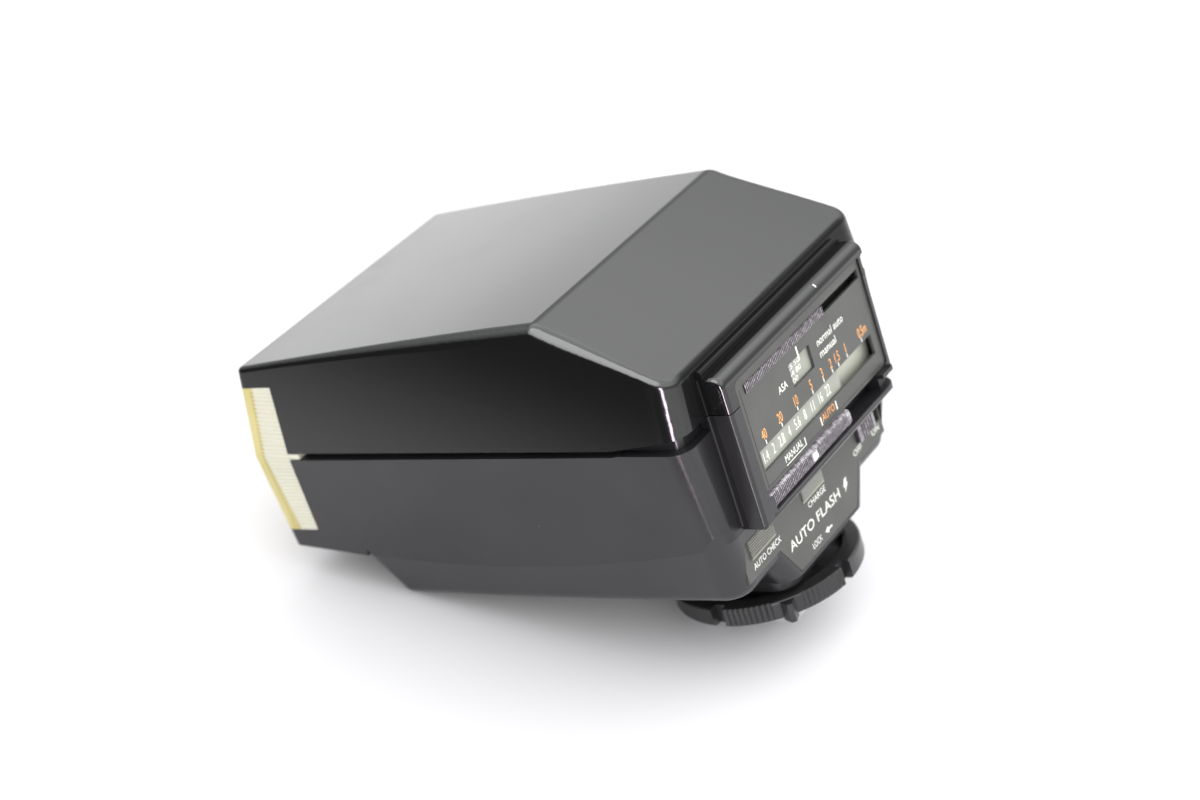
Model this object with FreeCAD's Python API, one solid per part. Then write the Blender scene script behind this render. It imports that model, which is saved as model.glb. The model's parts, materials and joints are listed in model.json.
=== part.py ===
import FreeCAD, Part
import math
import os

V = FreeCAD.Vector

# ---------------------------------------------------------------------------------------------
# Speedlight flash, millimetres.
# Origin: centre of the shoe foot's bottom face, on the lock ring's axis.
# +Z is up, the flash window faces -Y, and +X is the user's left when the user stands behind it.
# ---------------------------------------------------------------------------------------------

# casing
SEAM_Z = 48.2            # height of the parting line along the sides
SEAM_HALF = 34.4         # half width at the parting line, the widest place
SIDE_DRAFT = 0.115       # how much each side leans in, per mm away from the parting line
FRONT_Y = -78.1          # front face at the parting line
FRONT_DRAFT_UP = 0.113
FRONT_DRAFT_DOWN = -0.03
REAR_Y = 16.8            # rear face, behind the hood
REAR_CORNER = 3.6
FRONT_CORNER = 1.2
WALL = 2.0
TOP_FRONT = (-76.4, 65.3)        # side profile of the roof, (y, z)
TOP_MIDDLE = (-42.0, 68.5)
TOP_CREASE = (-8.2, 71.0)
TOP_REAR = (16.8, 59.9)
NOSE_ROUND = 1.0         # rounding of the roof's side edges at the nose
ROOF_ROUND = 2.6         # and at the crease
REAR_ROUND = 1.5         # and along the roof's rear edge
COVER_EDGE = ((-90.0, 48.9), (2.0, 49.1), (13.0, 50.5), (17.0, 50.9), (40.0, 50.9))
LOWER_EDGE = ((-90.0, 47.3), (2.0, 48.0), (13.0, 49.8), (17.0, 50.7), (40.0, 50.7))
TONGUE_GAP = 0.15        # between the lower body's tongue and the inside of the cover
TONGUE_THICK = 0.9
TONGUE_FRONT_Y = -66.0
TONGUE_Z = (44.5, 51.6)
SHOULDER_Z = (43.0, 46.6)        # thicker wall under the tongue

# battery chamber under the head
FLOOR_Z = 15.9
CHAMBER_HALF = (28.6, 28.9, 28.1)    # half width of the chamber's bottom: front, middle, rear
CHAMBER_FRONT_Y = -60.0
CHAMBER_REAR_Y = 14.4
CHAMBER_SIDE_SLOPE = 0.32
CHAMBER_FRONT_SLOPE = 0.3
CHAMBER_REAR_SLOPE = 0.17
CHAMBER_TOP_Z = 36.0
CHAMBER_CORNER = 5.0
HEAD_FLOOR_FRONT = (-90.0, 29.7)
HEAD_FLOOR_BACK = (-61.8, 26.1)

# neck and label plate under the hood
LABEL_Y = 15.0
LABEL_THICK = 0.9
LABEL_HALF = 26.1
LABEL_TOP_Z = 28.9
LABEL_BOTTOM_Z = 18.7
NECK_TOP_HALF = 15.2
NECK_LOW_HALF = 10.8
NECK_BOTTOM_Z = 11.3
NECK_ROUND = 3.4
NECK_FRONT_Y = -14.0

# hood with the exposure calculator
HOOD_LEFT = 25.5
HOOD_RIGHT = -26.0
HOOD_Y = 21.4
HOOD_TOP_Z = 57.3
HOOD_BOTTOM_Z = 28.8
HOOD_CROWN = 2.0         # rounding along the top of the hood
HOOD_EDGE = 0.9          # rounding of its other rear edges
RIM_Y = 20.3             # the low rim at the right end of the panel
LEG_ROUND = 4.2          # rounded right end of the hood's bottom bar
LEDGE = (-23.4, 25.5, 17.9, 58.8)          # ridge above the hood: x low, x high, y, z
HOOD_ROOT = 0.22         # bevelled corner where the hood's sides leave the rear wall
LEDGE_EDGE = 0.5
PANEL_Y = 19.9
PANEL_THICK = 0.55
PANEL_LEFT = 22.3
PANEL_RIGHT = -25.1
PANEL_TOP_Z = 54.9
PANEL_BOTTOM_Z = 33.1
SLIDE_CLEAR = 0.05       # running clearance of every slider
PLATE_HALF = 24.6        # the hollow behind the panel, where the exposure plate runs
PLATE_BACK_Y = 16.9
PLATE_Z = (35.4, 53.0)
PANEL_CORNER = 1.2
BACK_PLATE = 0.6         # thickness of the fixed plate behind the exposure plate
PANEL_GAP = 0.06
KNURL_PITCH = 0.5
UPPER_SLOT = (-24.2, 18.0, 50.7, 52.3)     # x low, x high, z low, z high
SPEED_KNOB_LENGTH = 28.2
SPEED_TRAVEL = 14.0      # about five stops
SPEED_WINDOW = (-3.5, 4.05, 44.1, 48.4)
NUMBER_WINDOW = (-22.8, 19.0, 36.4, 40.2)
LOWER_SLOT_Z = (30.1, 33.0)
BAR_ROUND = 0.5          # rounding of the bottom bar's edge under the mode slider
MODE_LEFT = 22.0
MODE_RIGHT = -8.5
MODE_Y = 20.7
MODE_INDEX_X = 5.5
LEG_NOTCH_Z = 32.2       # the hood's right end stops here, above the ribbed stop
STOP_X = (-25.3, -20.8)  # ribbed stop at the right end of the lower slot
STOP_Y = 20.2
STOP_ROUND = 3.2
STOP_RIB = 0.22

# lamps and switch on the label plate: x low, x high, z low, z high
CHARGE_LAMP = (-2.9, 4.8, 21.8, 25.6)
CHECK_LAMP = (15.5, 23.8, 22.1, 25.6)
SWITCH_SLOT = (-25.4, -16.4, 21.6, 24.6)
LAMP_PROUD = 0.4
LAMP_RIBS = 7
CHARGE_TRAVEL = 0.8      # the charge lamp is also the test button
POWER_KNOB_LENGTH = 6.2
KNOB_PROUD = 0.8
INDICATOR_DEPTH = 3.6    # from the label plate's face to the back of the lamps
LED_RADIUS = 1.0

# flash window
WINDOW_TOP_Z = 61.6
WINDOW_BOTTOM_Z = 31.9
WINDOW_BACK = ((61.6, -69.2), (48.2, -69.5), (31.9, -71.2))     # (z, y) of the wings' rear edge
WINDOW_STRIP = ((61.6, 2.6), (31.9, 1.8))                       # (z, width) of the smooth front strip
WINDOW_RIBS = 38
RIB_DEPTH = 0.18
FRONT_RIB_HALF = 31.0    # the grooves across the front end here
FRONT_RIB_DEPTH = 0.25
WINDOW_GAP = 0.06

# shoe foot and lock ring
RING_RADIUS = 17.6
RING_Z = (4.0, 7.6)
RING_RIM_RADIUS = 14.4
RING_HUB_RADIUS = 9.0
RING_WEB_Z = 5.4
RING_TAB_RADIUS = 19.4
RING_NOTCH_DEPTH = 1.6
RING_RIB_DEPTH = 0.55
RING_RIB_PITCH = 3.25            # degrees
RING_SYMMETRY = 48.5             # degrees from +Y towards +X, centre of one grip group
STEM_RADIUS = 6.15               # just under the 12.5 mm neck of a standard shoe
STEM_FLAT = 5.6
FOOT_WIDTH = 18.6                # the standard accessory shoe foot
FOOT_LENGTH = 18.0
FOOT_THICK = 2.0
CLAMP_Z = (3.4, 3.95)
FOOT_BASE_HALF = 12.0
FOOT_SCREWS = [(sx * 7.3, sy * 7.3) for sx in (-1, 1) for sy in (-1, 1)]
FOOT_SCREW_RADIUS = 0.75
PIN_RADIUS = 1.1
PIN_PROUD = 0.6
SIDE_PINS = ((-4.6, 3.2), (4.6, 3.2))
SIDE_PIN_RADIUS = 0.75
SIDE_PIN_PROUD = 0.35

# battery compartment, two AA cells lying across the body
CELL_RADIUS = 7.25
CELL_LENGTH = 50.0
CELL_Z = 25.75
CELL_Y = (-49.8, -34.6)
DOOR_X = 26.0
DOOR_FRONT_Y = -57.6
DOOR_GAP = 0.2
DOOR_THICK = 1.9
HINGE_Y = -25.2
HINGE_Z = FLOOR_Z + DOOR_THICK / 2
HINGE_GAP = 0.35         # behind the barrel, so that the door can hang down past the floor's edge
HINGE_PIN_RADIUS = 0.45
HINGE_PIN_HALF = 27.2
GRIP_RIBS = 6

# insides
REFLECTOR_HALF = 27.5
REFLECTOR_FRONT_Y = -74.6
REFLECTOR_DEPTH = 15.0
REFLECTOR_HEIGHT = 25.0
REFLECTOR_SHEET = 0.4
AXIS_Z = 47.2            # height of the tube and of the reflector's middle
TUBE_RADIUS = 2.0
CAPACITOR_RADIUS = 11.5
CAPACITOR_LENGTH = 47.0
CAPACITOR_Y = -41.0
CAPACITOR_Z = 50.2
BOARD_Z = 35.4
BOARD_THICK = 1.6
POST_X = 22.5
POST_Y = 5.6
POST_RADIUS = 2.7
POST_SPLIT_Z = 47.0      # the lower body's posts stop here and the cover's carry on
SCREW_SEAT = 1.6         # depth of the screw's seat above the chamber's floor
SCREW_RADIUS = 1.0
SCREW_HEAD_RADIUS = 1.9
HEAD_SCREW = (18.0, -68.5)       # the screws that hold the reflector's frame, (x, y)
HEAD_SCREW_SEAT_Z = 28.2
TUBE_Y = REFLECTOR_FRONT_Y + REFLECTOR_DEPTH - 4.2
SENSOR_Z = 22.0
SENSOR_RADIUS = 3.6


# ---------------------------------------------------------------------------------------------
# helpers
# ---------------------------------------------------------------------------------------------

def block(x, y, z):
    """Box from three (low, high) pairs."""
    return Part.makeBox(x[1] - x[0], y[1] - y[0], z[1] - z[0], V(x[0], y[0], z[0]))


def rod(radius, start, end):
    """Round bar from one point to another."""
    a = V(*start)
    way = V(*end) - a
    return Part.makeCylinder(radius, way.Length, a, way)


def slab_x(points, x0, x1):
    """Closed (y, z) outline drawn out along X."""
    wire = Part.makePolygon([V(x0, y, z) for y, z in points] + [V(x0, *points[0])])
    return Part.Face(wire).extrude(V(x1 - x0, 0, 0))


def slab_y(points, y0, y1):
    """Closed (x, z) outline drawn out along Y."""
    wire = Part.makePolygon([V(x, y0, z) for x, z in points] + [V(points[0][0], y0, points[0][1])])
    return Part.Face(wire).extrude(V(0, y1 - y0, 0))


def window_slab(window, y, clear=0.0):
    """Block over an (x low, x high, z low, z high) window, grown by clear."""
    x0, x1, z0, z1 = window
    return block((x0 - clear, x1 + clear), y, (z0 - clear, z1 + clear))


def rounded_wire(half, y_front, y_rear, r_front, r_rear, z):
    """Plan outline, symmetric about X = 0, with rounded corners.

    half is one half width, or three for bowed sides: at the front, at the middle and at the rear.
    """
    q = 1 - math.sqrt(0.5)
    bowed = isinstance(half, tuple)
    front_half, middle_half, rear_half = half if bowed else (half, half, half)
    edges = []

    def arc(a, m, b):
        edges.append(Part.Arc(V(a[0], a[1], z), V(m[0], m[1], z), V(b[0], b[1], z)).toShape())

    def line(a, b):
        edges.append(Part.makeLine(V(a[0], a[1], z), V(b[0], b[1], z)))

    def side(sign, a, b):
        if bowed:
            arc(a, (sign * middle_half, (a[1] + b[1]) / 2), b)
        else:
            line(a, b)

    fx, fy, rf = front_half, y_front, r_front
    rx, ry, rr = rear_half, y_rear, r_rear
    line((-fx + rf, fy), (fx - rf, fy))
    arc((fx - rf, fy), (fx - rf * q, fy + rf * q), (fx, fy + rf))
    side(1, (fx, fy + rf), (rx, ry - rr))
    arc((rx, ry - rr), (rx - rr * q, ry - rr * q), (rx - rr, ry))
    line((rx - rr, ry), (-rx + rr, ry))
    arc((-rx + rr, ry), (-rx + rr * q, ry - rr * q), (-rx, ry - rr))
    side(-1, (-rx, ry - rr), (-fx, fy + rf))
    arc((-fx, fy + rf), (-fx + rf * q, fy + rf * q), (-fx + rf, fy))
    return Part.Wire(edges)


def loft(low, high):
    return Part.makeLoft([low, high], True, True)


def fillet_where(shape, radius, test):
    """Round the edges that pass the test, and leave the shape as it is if none does."""
    edges = [edge for edge in shape.Edges if test(edge)]
    return shape.makeFillet(radius, edges) if edges else shape


def along(edge, axis):
    """True for a straight edge along the axis."""
    if edge.Curve.TypeId != "Part::GeomLine":
        return False
    way = edge.Curve.Direction
    return abs(abs(getattr(way, axis)) - 1.0) < 1e-6


def joined(shapes):
    first, rest = shapes[0], shapes[1:]
    return first.fuse(rest).removeSplitter() if rest else first


NODES = {}


def node(name, shapes):
    """Keep one node: a solid, or a group of separate solids."""
    if not isinstance(shapes, (list, tuple)):
        shapes = [shapes]
    solids = [solid for shape in shapes for solid in shape.Solids]
    NODES[name] = solids[0] if len(solids) == 1 else Part.makeCompound(solids)


# ---------------------------------------------------------------------------------------------
# casing
# ---------------------------------------------------------------------------------------------

def draft_wire(z, inset):
    """Plan outline of the casing at one height, moved in by inset."""
    rise = z - SEAM_Z
    slope = FRONT_DRAFT_UP if rise > 0 else -FRONT_DRAFT_DOWN
    half = SEAM_HALF - SIDE_DRAFT * abs(rise) - inset
    r_front = max(FRONT_CORNER - inset, 0.3)
    r_rear = max(REAR_CORNER - inset, 0.6)
    return rounded_wire(half, FRONT_Y + slope * rise + inset, REAR_Y - inset, r_front, r_rear, z)


def roof_profile(inset):
    """Everything under the roof, as a side profile drawn out along X."""
    drop = inset * 1.02
    crown = Part.Arc(V(-50, TOP_FRONT[0] - 8.0, TOP_FRONT[1] - 0.8 - drop),
                     V(-50, TOP_MIDDLE[0], TOP_MIDDLE[1] - drop),
                     V(-50, TOP_CREASE[0], TOP_CREASE[1] - drop)).toShape()
    fall = (TOP_CREASE[1] - TOP_REAR[1]) / (TOP_REAR[0] - TOP_CREASE[0])
    end_y = TOP_REAR[0] + 20.0
    end_z = TOP_REAR[1] - 20.0 * fall - drop * 1.08
    corners = [V(-50, TOP_CREASE[0], TOP_CREASE[1] - drop), V(-50, end_y, end_z), V(-50, end_y, 20.0),
               V(-50, TOP_FRONT[0] - 8.0, 20.0), V(-50, TOP_FRONT[0] - 8.0, TOP_FRONT[1] - 0.8 - drop)]
    wire = Part.Wire([crown] + Part.makePolygon(corners).Edges)
    return Part.Face(wire).extrude(V(100, 0, 0))


def upper_envelope(inset):
    """Outer form of the casing above the parting line."""
    top = TOP_CREASE[1] + 2.0
    form = loft(draft_wire(SEAM_Z, inset), draft_wire(top, inset))
    return form.common(roof_profile(inset))


def chamber_form(inset):
    """Tapered battery chamber, narrower towards its floor."""
    rise = CHAMBER_TOP_Z - FLOOR_Z
    low_z = FLOOR_Z + inset
    shift = inset / FRONT_CORNER

    def wire(z):
        up = z - FLOOR_Z
        half = tuple(h + CHAMBER_SIDE_SLOPE * up - inset * 1.05 for h in CHAMBER_HALF)
        front = CHAMBER_FRONT_Y - CHAMBER_FRONT_SLOPE * up + inset * 1.04
        rear = CHAMBER_REAR_Y + CHAMBER_REAR_SLOPE * up - inset
        corner = max(CHAMBER_CORNER - inset, 1.0)
        return rounded_wire(half, front, rear, max(3.0 - shift, 1.0), corner, z)

    return loft(wire(low_z), wire(FLOOR_Z + rise))


def lower_envelope(inset, rounded):
    """Outer form of the casing below the parting line, with the chamber and the head floor."""
    low = FLOOR_Z - 1.0
    form = loft(draft_wire(low, inset), draft_wire(SEAM_Z, inset))
    chamber = chamber_form(inset)
    if rounded:
        chamber = fillet_where(chamber, 2.6, lambda e: e.BoundBox.ZMax < FLOOR_Z + 0.01)
    front_y, front_z = HEAD_FLOOR_FRONT
    back_y, back_z = HEAD_FLOOR_BACK
    corners = [(front_y, front_z + inset), (back_y, back_z + inset), (back_y, 60.0), (front_y, 60.0)]
    head = slab_x(corners, -50, 50)
    above = block((-50, 50), (-90, 40), (CHAMBER_TOP_Z, 60.0))
    return form.common(chamber.fuse([head, above]))


def side_of(edge_line, above):
    """Everything above or below a parting line."""
    far = 90.0 if above else 0.0
    points = list(edge_line) + [(edge_line[-1][0], far), (edge_line[0][0], far)]
    return slab_x(points, -50, 50)


def window_region(grow):
    """The space the flash window takes from the front of the casing."""
    top, middle, bottom = WINDOW_BACK
    return slab_x([(-95.0, top[0] + grow), (top[1] + grow, top[0] + grow), (middle[1] + grow, middle[0]),
                   (bottom[1] + grow, bottom[0] - grow), (-95.0, bottom[0] - grow)], -50, 50)


def hood_block():
    """The hood's outer block: round along the top, softened at the rear, with a low rim at its right end."""
    def rear(edge):
        return edge.BoundBox.YMin > HOOD_Y - 0.01

    hood = block((HOOD_RIGHT, HOOD_LEFT), (REAR_Y - WALL + 0.05, HOOD_Y), (HOOD_BOTTOM_Z, HOOD_TOP_Z))
    hood = fillet_where(hood, HOOD_CROWN, lambda e: rear(e) and e.BoundBox.ZMin > HOOD_TOP_Z - 0.01)
    hood = fillet_where(hood, HOOD_EDGE, lambda e: rear(e) and not along(e, "x"))
    hood = fillet_where(hood, HOOD_EDGE, lambda e: rear(e) and e.BoundBox.ZMax < HOOD_BOTTOM_Z + 0.01)
    rim = block((HOOD_RIGHT - 1, PANEL_RIGHT + 0.5), (RIM_Y, HOOD_Y + 1), (HOOD_BOTTOM_Z + 1.0, PANEL_TOP_Z))
    corner = block((HOOD_RIGHT - 1, HOOD_RIGHT + LEG_ROUND), (HOOD_Y - LEG_ROUND, HOOD_Y + 1),
                   (HOOD_BOTTOM_Z - 1, LEG_NOTCH_Z))
    corner = corner.cut(rod(LEG_ROUND, (HOOD_RIGHT + LEG_ROUND, HOOD_Y - LEG_ROUND, HOOD_BOTTOM_Z - 2),
                            (HOOD_RIGHT + LEG_ROUND, HOOD_Y - LEG_ROUND, LEG_NOTCH_Z + 1)))
    return hood.cut([rim, corner]).fuse(hood_roots()).removeSplitter()


def hood_roots():
    """Small bevels in the inner corners between the hood's sides and the rear wall."""
    roots = []
    for side, x in ((1, HOOD_LEFT), (-1, HOOD_RIGHT)):
        toe_x = x + side * HOOD_ROOT
        corners = [(x - side, REAR_Y - 0.5), (toe_x, REAR_Y - 0.5), (toe_x, REAR_Y), (x, REAR_Y + HOOD_ROOT),
                   (x - side, REAR_Y + HOOD_ROOT)]
        wire = Part.makePolygon([V(px, py, HOOD_BOTTOM_Z + 1.0) for px, py in corners + corners[:1]])
        roots.append(Part.Face(wire).extrude(V(0, 0, HOOD_TOP_Z - HOOD_BOTTOM_Z - 1.0)))
    return roots


def hood_pockets():
    """Spaces cut from the hood for the panel, the exposure plate and the sliders."""
    panel_back = PANEL_Y - PANEL_THICK
    mouth_y = (panel_back - 0.02, HOOD_Y + 5)
    mouth = block((PANEL_RIGHT, PANEL_LEFT), mouth_y, (LOWER_SLOT_Z[1] - 0.02, PANEL_TOP_Z))
    mouth = fillet_where(mouth, PANEL_CORNER + 0.05, lambda e: along(e, "y"))
    run_z = (PLATE_Z[0] - 1.0, PLATE_Z[1] + 1.2)
    run = block((-PLATE_HALF, PLATE_HALF), (PLATE_BACK_Y, panel_back + 0.02), run_z)
    ends_x = (-40.0, MODE_LEFT + 0.3)
    slot = block(ends_x, (PLATE_BACK_Y, HOOD_Y + 5), LOWER_SLOT_Z)
    lip_z = (LOWER_SLOT_Z[0], PANEL_TOP_Z)
    lip = block((MODE_LEFT - 1.0, PANEL_LEFT + 2.0), (HOOD_Y - 0.35, HOOD_Y + 5), lip_z)
    above_z = (LEG_NOTCH_Z, LOWER_SLOT_Z[1] + 1)
    above_stop = block((-40.0, STOP_X[1]), (PLATE_BACK_Y - 1, HOOD_Y + 6), above_z)
    centre_y = HOOD_Y - BAR_ROUND
    centre_z = LOWER_SLOT_Z[0] - BAR_ROUND
    edge = block(ends_x, (centre_y, HOOD_Y + 1), (centre_z, LOWER_SLOT_Z[0] + 0.1))
    edge = edge.cut(rod(BAR_ROUND, (ends_x[0] - 1, centre_y, centre_z), (ends_x[1] + 1, centre_y, centre_z)))
    return [mouth, run, slot.cut([lip, above_stop]), edge]


def slot_stop():
    """Ribbed block with a round outer corner, at the right end of the lower slot."""
    z = (LOWER_SLOT_Z[0] - 0.1, LEG_NOTCH_Z + 0.1)
    stop = block(STOP_X, (REAR_Y - 0.5, STOP_Y), z)
    stop = fillet_where(stop, STOP_ROUND, lambda e: along(e, "z") and e.BoundBox.XMax < STOP_X[0] + 0.01
                        and e.BoundBox.YMin > STOP_Y - 0.01)
    middle = (STOP_X[0] + STOP_ROUND, STOP_Y - STOP_ROUND)
    places = [(STOP_X[1] - 0.4 - 0.6 * k, STOP_Y) for k in range(2)]
    for degrees in range(95, 180, 12):
        a = math.radians(degrees)
        places.append((middle[0] + STOP_ROUND * math.cos(a), middle[1] + STOP_ROUND * math.sin(a)))
    return stop.cut([rod(STOP_RIB, (x, y, z[0] - 1), (x, y, z[1] + 1)) for x, y in places])


def label_outline(grow):
    """T-shaped outline of the label plate, (x, z)."""
    g = grow
    low_z = LABEL_BOTTOM_Z - g
    right = [(-LABEL_HALF - g, LABEL_TOP_Z), (-LABEL_HALF - g, low_z), (-NECK_TOP_HALF - g, low_z),
             (-NECK_LOW_HALF - g, NECK_BOTTOM_Z + 0.6 - g)]
    left = [(-x, z) for x, z in reversed(right)]
    return right + left


def neck():
    """Round-cornered neck that carries the foot."""
    low_z = NECK_BOTTOM_Z
    high_z = LABEL_BOTTOM_Z + 2.0
    per_mm = (NECK_TOP_HALF - NECK_LOW_HALF) / (LABEL_BOTTOM_Z - NECK_BOTTOM_Z)
    high_half = NECK_TOP_HALF + NECK_ROUND + per_mm * (high_z - LABEL_BOTTOM_Z)
    low = rounded_wire(NECK_LOW_HALF + NECK_ROUND, NECK_FRONT_Y, LABEL_Y, NECK_ROUND, NECK_ROUND, low_z)
    high = rounded_wire(high_half, NECK_FRONT_Y - 3.0, LABEL_Y, NECK_ROUND, NECK_ROUND, high_z)
    return loft(low, high)


def hinge_line(radius, half):
    """Round bar along the battery door's hinge axis."""
    return rod(radius, (-half, HINGE_Y, HINGE_Z), (half, HINGE_Y, HINGE_Z))


def band(low_z, high_z, inset):
    """Casing outline lofted from one height to another, through the parting line if it lies between."""
    heights = [low_z] + ([SEAM_Z] if low_z < SEAM_Z < high_z else []) + [high_z]
    wires = [draft_wire(z, inset) for z in heights]
    return joined([loft(a, b) for a, b in zip(wires, wires[1:])])


def upright(radius, sides, z0, z1):
    """Round bars up the Z axis at the given (x, y), on both sides of the middle plane."""
    x, y = sides
    return [rod(radius, (s * x, y, z0), (s * x, y, z1)) for s in (-1, 1)]


def build_casing():
    outer_low = lower_envelope(0.0, True).cut(side_of(LOWER_EDGE, True))
    outer_up = upper_envelope(0.0).fuse(loft(draft_wire(SEAM_Z - 6.0, 0.0), draft_wire(SEAM_Z, 0.0)))
    outer_up = round_roof(outer_up.removeSplitter())
    inner_low = lower_envelope(WALL, False)
    inner_up = upper_envelope(WALL)
    inner_full = inner_low.fuse(inner_up)
    hood = hood_block()
    pockets = hood_pockets() + [window_region(WINDOW_GAP)]
    posts = (POST_X, POST_Y)

    # lower body: shell, tongue inside the cover's edge, hood, neck and screw posts
    tongue_in = WALL + TONGUE_GAP
    hollow = band(39.0, 54.0, tongue_in + TONGUE_THICK)
    behind_head = block((-50, 50), (TONGUE_FRONT_Y, 40), (TONGUE_Z[0], TONGUE_Z[1]))
    tongue = band(40.0, 53.0, tongue_in).cut(hollow).common(behind_head)
    shoulder = band(SHOULDER_Z[0], SHOULDER_Z[1], WALL * 0.4).cut(hollow)
    shoulder = shoulder.common(block((-50, 50), (TONGUE_FRONT_Y, 40), SHOULDER_Z))
    lower = outer_low.cut(inner_low)
    lower = lower.fuse([hood.common(side_of(LOWER_EDGE, False)), neck().cut(inner_low), tongue, shoulder])
    lower = lower.fuse(upright(POST_RADIUS, posts, FLOOR_Z + 1.0, POST_SPLIT_Z))
    cuts = list(pockets)
    cuts.append(slab_y(label_outline(0.08), LABEL_Y - LABEL_THICK - 0.02, LABEL_Y + 1.2))
    cuts += panel_openings(LABEL_Y - 12.0, LABEL_Y + 1.0, 0.12)
    cuts += door_cuts() + foot_cuts() + [sensor_hole()]
    for place, seat_z, top_z in ((posts, FLOOR_Z + SCREW_SEAT, 60.0), (HEAD_SCREW, HEAD_SCREW_SEAT_Z, 33.0)):
        cuts += upright(SCREW_RADIUS + 0.15, place, 5.0, top_z)
        cuts += upright(SCREW_HEAD_RADIUS + 0.2, place, 5.0, seat_z)
    lower = lower.cut(cuts).fuse(slot_stop()).removeSplitter()
    node("lower_body", largest(lower))

    # top cover: shell, top of the hood with its ledge, and threaded posts
    ledge = block(LEDGE[:2], (REAR_Y - 1.0, LEDGE[2]), (HOOD_TOP_Z - 1.0, LEDGE[3]))
    ledge = fillet_where(ledge, LEDGE_EDGE, lambda e: along(e, "x") and e.BoundBox.YMin > LEDGE[2] - 0.01
                         and e.BoundBox.ZMin > LEDGE[3] - 0.01)
    cover = outer_up.cut(inner_full).fuse([hood, ledge])
    inside = upper_envelope(WALL - 0.5)
    cover_posts = [post.common(inside) for post in upright(POST_RADIUS, posts, POST_SPLIT_Z + 0.15, 64.0)]
    cover = cover.common(side_of(COVER_EDGE, True)).fuse(cover_posts)
    cover = cover.cut(pockets + upright(SCREW_RADIUS - 0.1, posts, 40.0, 55.0)).removeSplitter()
    node("top_cover", largest(cover))

    # flash window: the front of the casing, with a tab in each end of the seam
    shell = outer_up.fuse(lower_envelope(0.0, False)).cut(inner_full)
    window = largest(shell.common(window_region(0.0)))
    middle_z = (COVER_EDGE[0][1] + LOWER_EDGE[0][1]) / 2
    tabs = [block((s * 33.2 - 0.9, s * 33.2 + 0.9), (-70.5, -67.2), (middle_z - 0.5, middle_z + 0.55))
            for s in (-1, 1)]
    window = window.fuse(tabs).removeSplitter()
    node("flash_window", largest(window.cut(window_ribs())))


def largest(shape):
    """The biggest solid of a shape, without stray slivers."""
    return max(shape.Solids, key=lambda solid: solid.Volume)


def round_roof(form):
    """Soften the roof's edges, on one half that is then mirrored.

    The side edge opens from the nose to the crease, and closes again down the rear slope.
    """
    def side_edges(shape, low_y, high_y):
        picked = []
        for edge in shape.Edges:
            box = edge.BoundBox
            inside = box.YMin > low_y and box.YMax < high_y and box.ZMin > TOP_REAR[1] - 3.0
            if inside and box.XMin > 20.0 and box.XLength < 5.0 and box.YLength > 10.0:
                picked.append(edge)
        return picked

    half = form.common(block((0, 60), (-100, 60), (0, 100)))
    half = half.makeFillet(ROOF_ROUND, NOSE_ROUND, side_edges(half, -100.0, TOP_CREASE[0] + 1.0))
    half = half.makeFillet(REAR_ROUND, ROOF_ROUND, side_edges(half, TOP_CREASE[0] - 6.0, 60.0))
    return half.fuse(half.mirror(V(0, 0, 0), V(1, 0, 0))).removeSplitter()


def window_ribs():
    """Fine grooves across the front, and across both wings behind their smooth front strip."""
    height = WINDOW_TOP_Z - WINDOW_BOTTOM_Z
    pitch = height / WINDOW_RIBS
    strip_low, strip_high = WINDOW_STRIP[1][1], WINDOW_STRIP[0][1]
    grooves = []
    for k in range(1, WINDOW_RIBS):
        z = WINDOW_BOTTOM_Z + k * pitch
        rise = z - SEAM_Z
        face = FRONT_Y + (FRONT_DRAFT_UP if rise > 0 else -FRONT_DRAFT_DOWN) * rise
        strip = strip_low + (strip_high - strip_low) * k / WINDOW_RIBS
        half = SEAM_HALF - SIDE_DRAFT * abs(rise) - RIB_DEPTH
        for x in ((half, half + 2.0), (-half - 2.0, -half)):
            grooves.append(block(x, (face + strip, -60.0), (z - 0.17, z + 0.17)))
        grooves.append(slab_x([(face - 0.05, z - pitch * 0.4), (face + FRONT_RIB_DEPTH, z),
                               (face - 0.05, z + pitch * 0.4)], -FRONT_RIB_HALF, FRONT_RIB_HALF))
    return Part.makeCompound(grooves)


# ---------------------------------------------------------------------------------------------
# rear controls
# ---------------------------------------------------------------------------------------------

def panel_openings(y0, y1, clear):
    """Openings for the two lamps and the power knob."""
    return [window_slab(window, (y0, y1), clear) for window in (CHARGE_LAMP, CHECK_LAMP, SWITCH_SLOT)]


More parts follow.
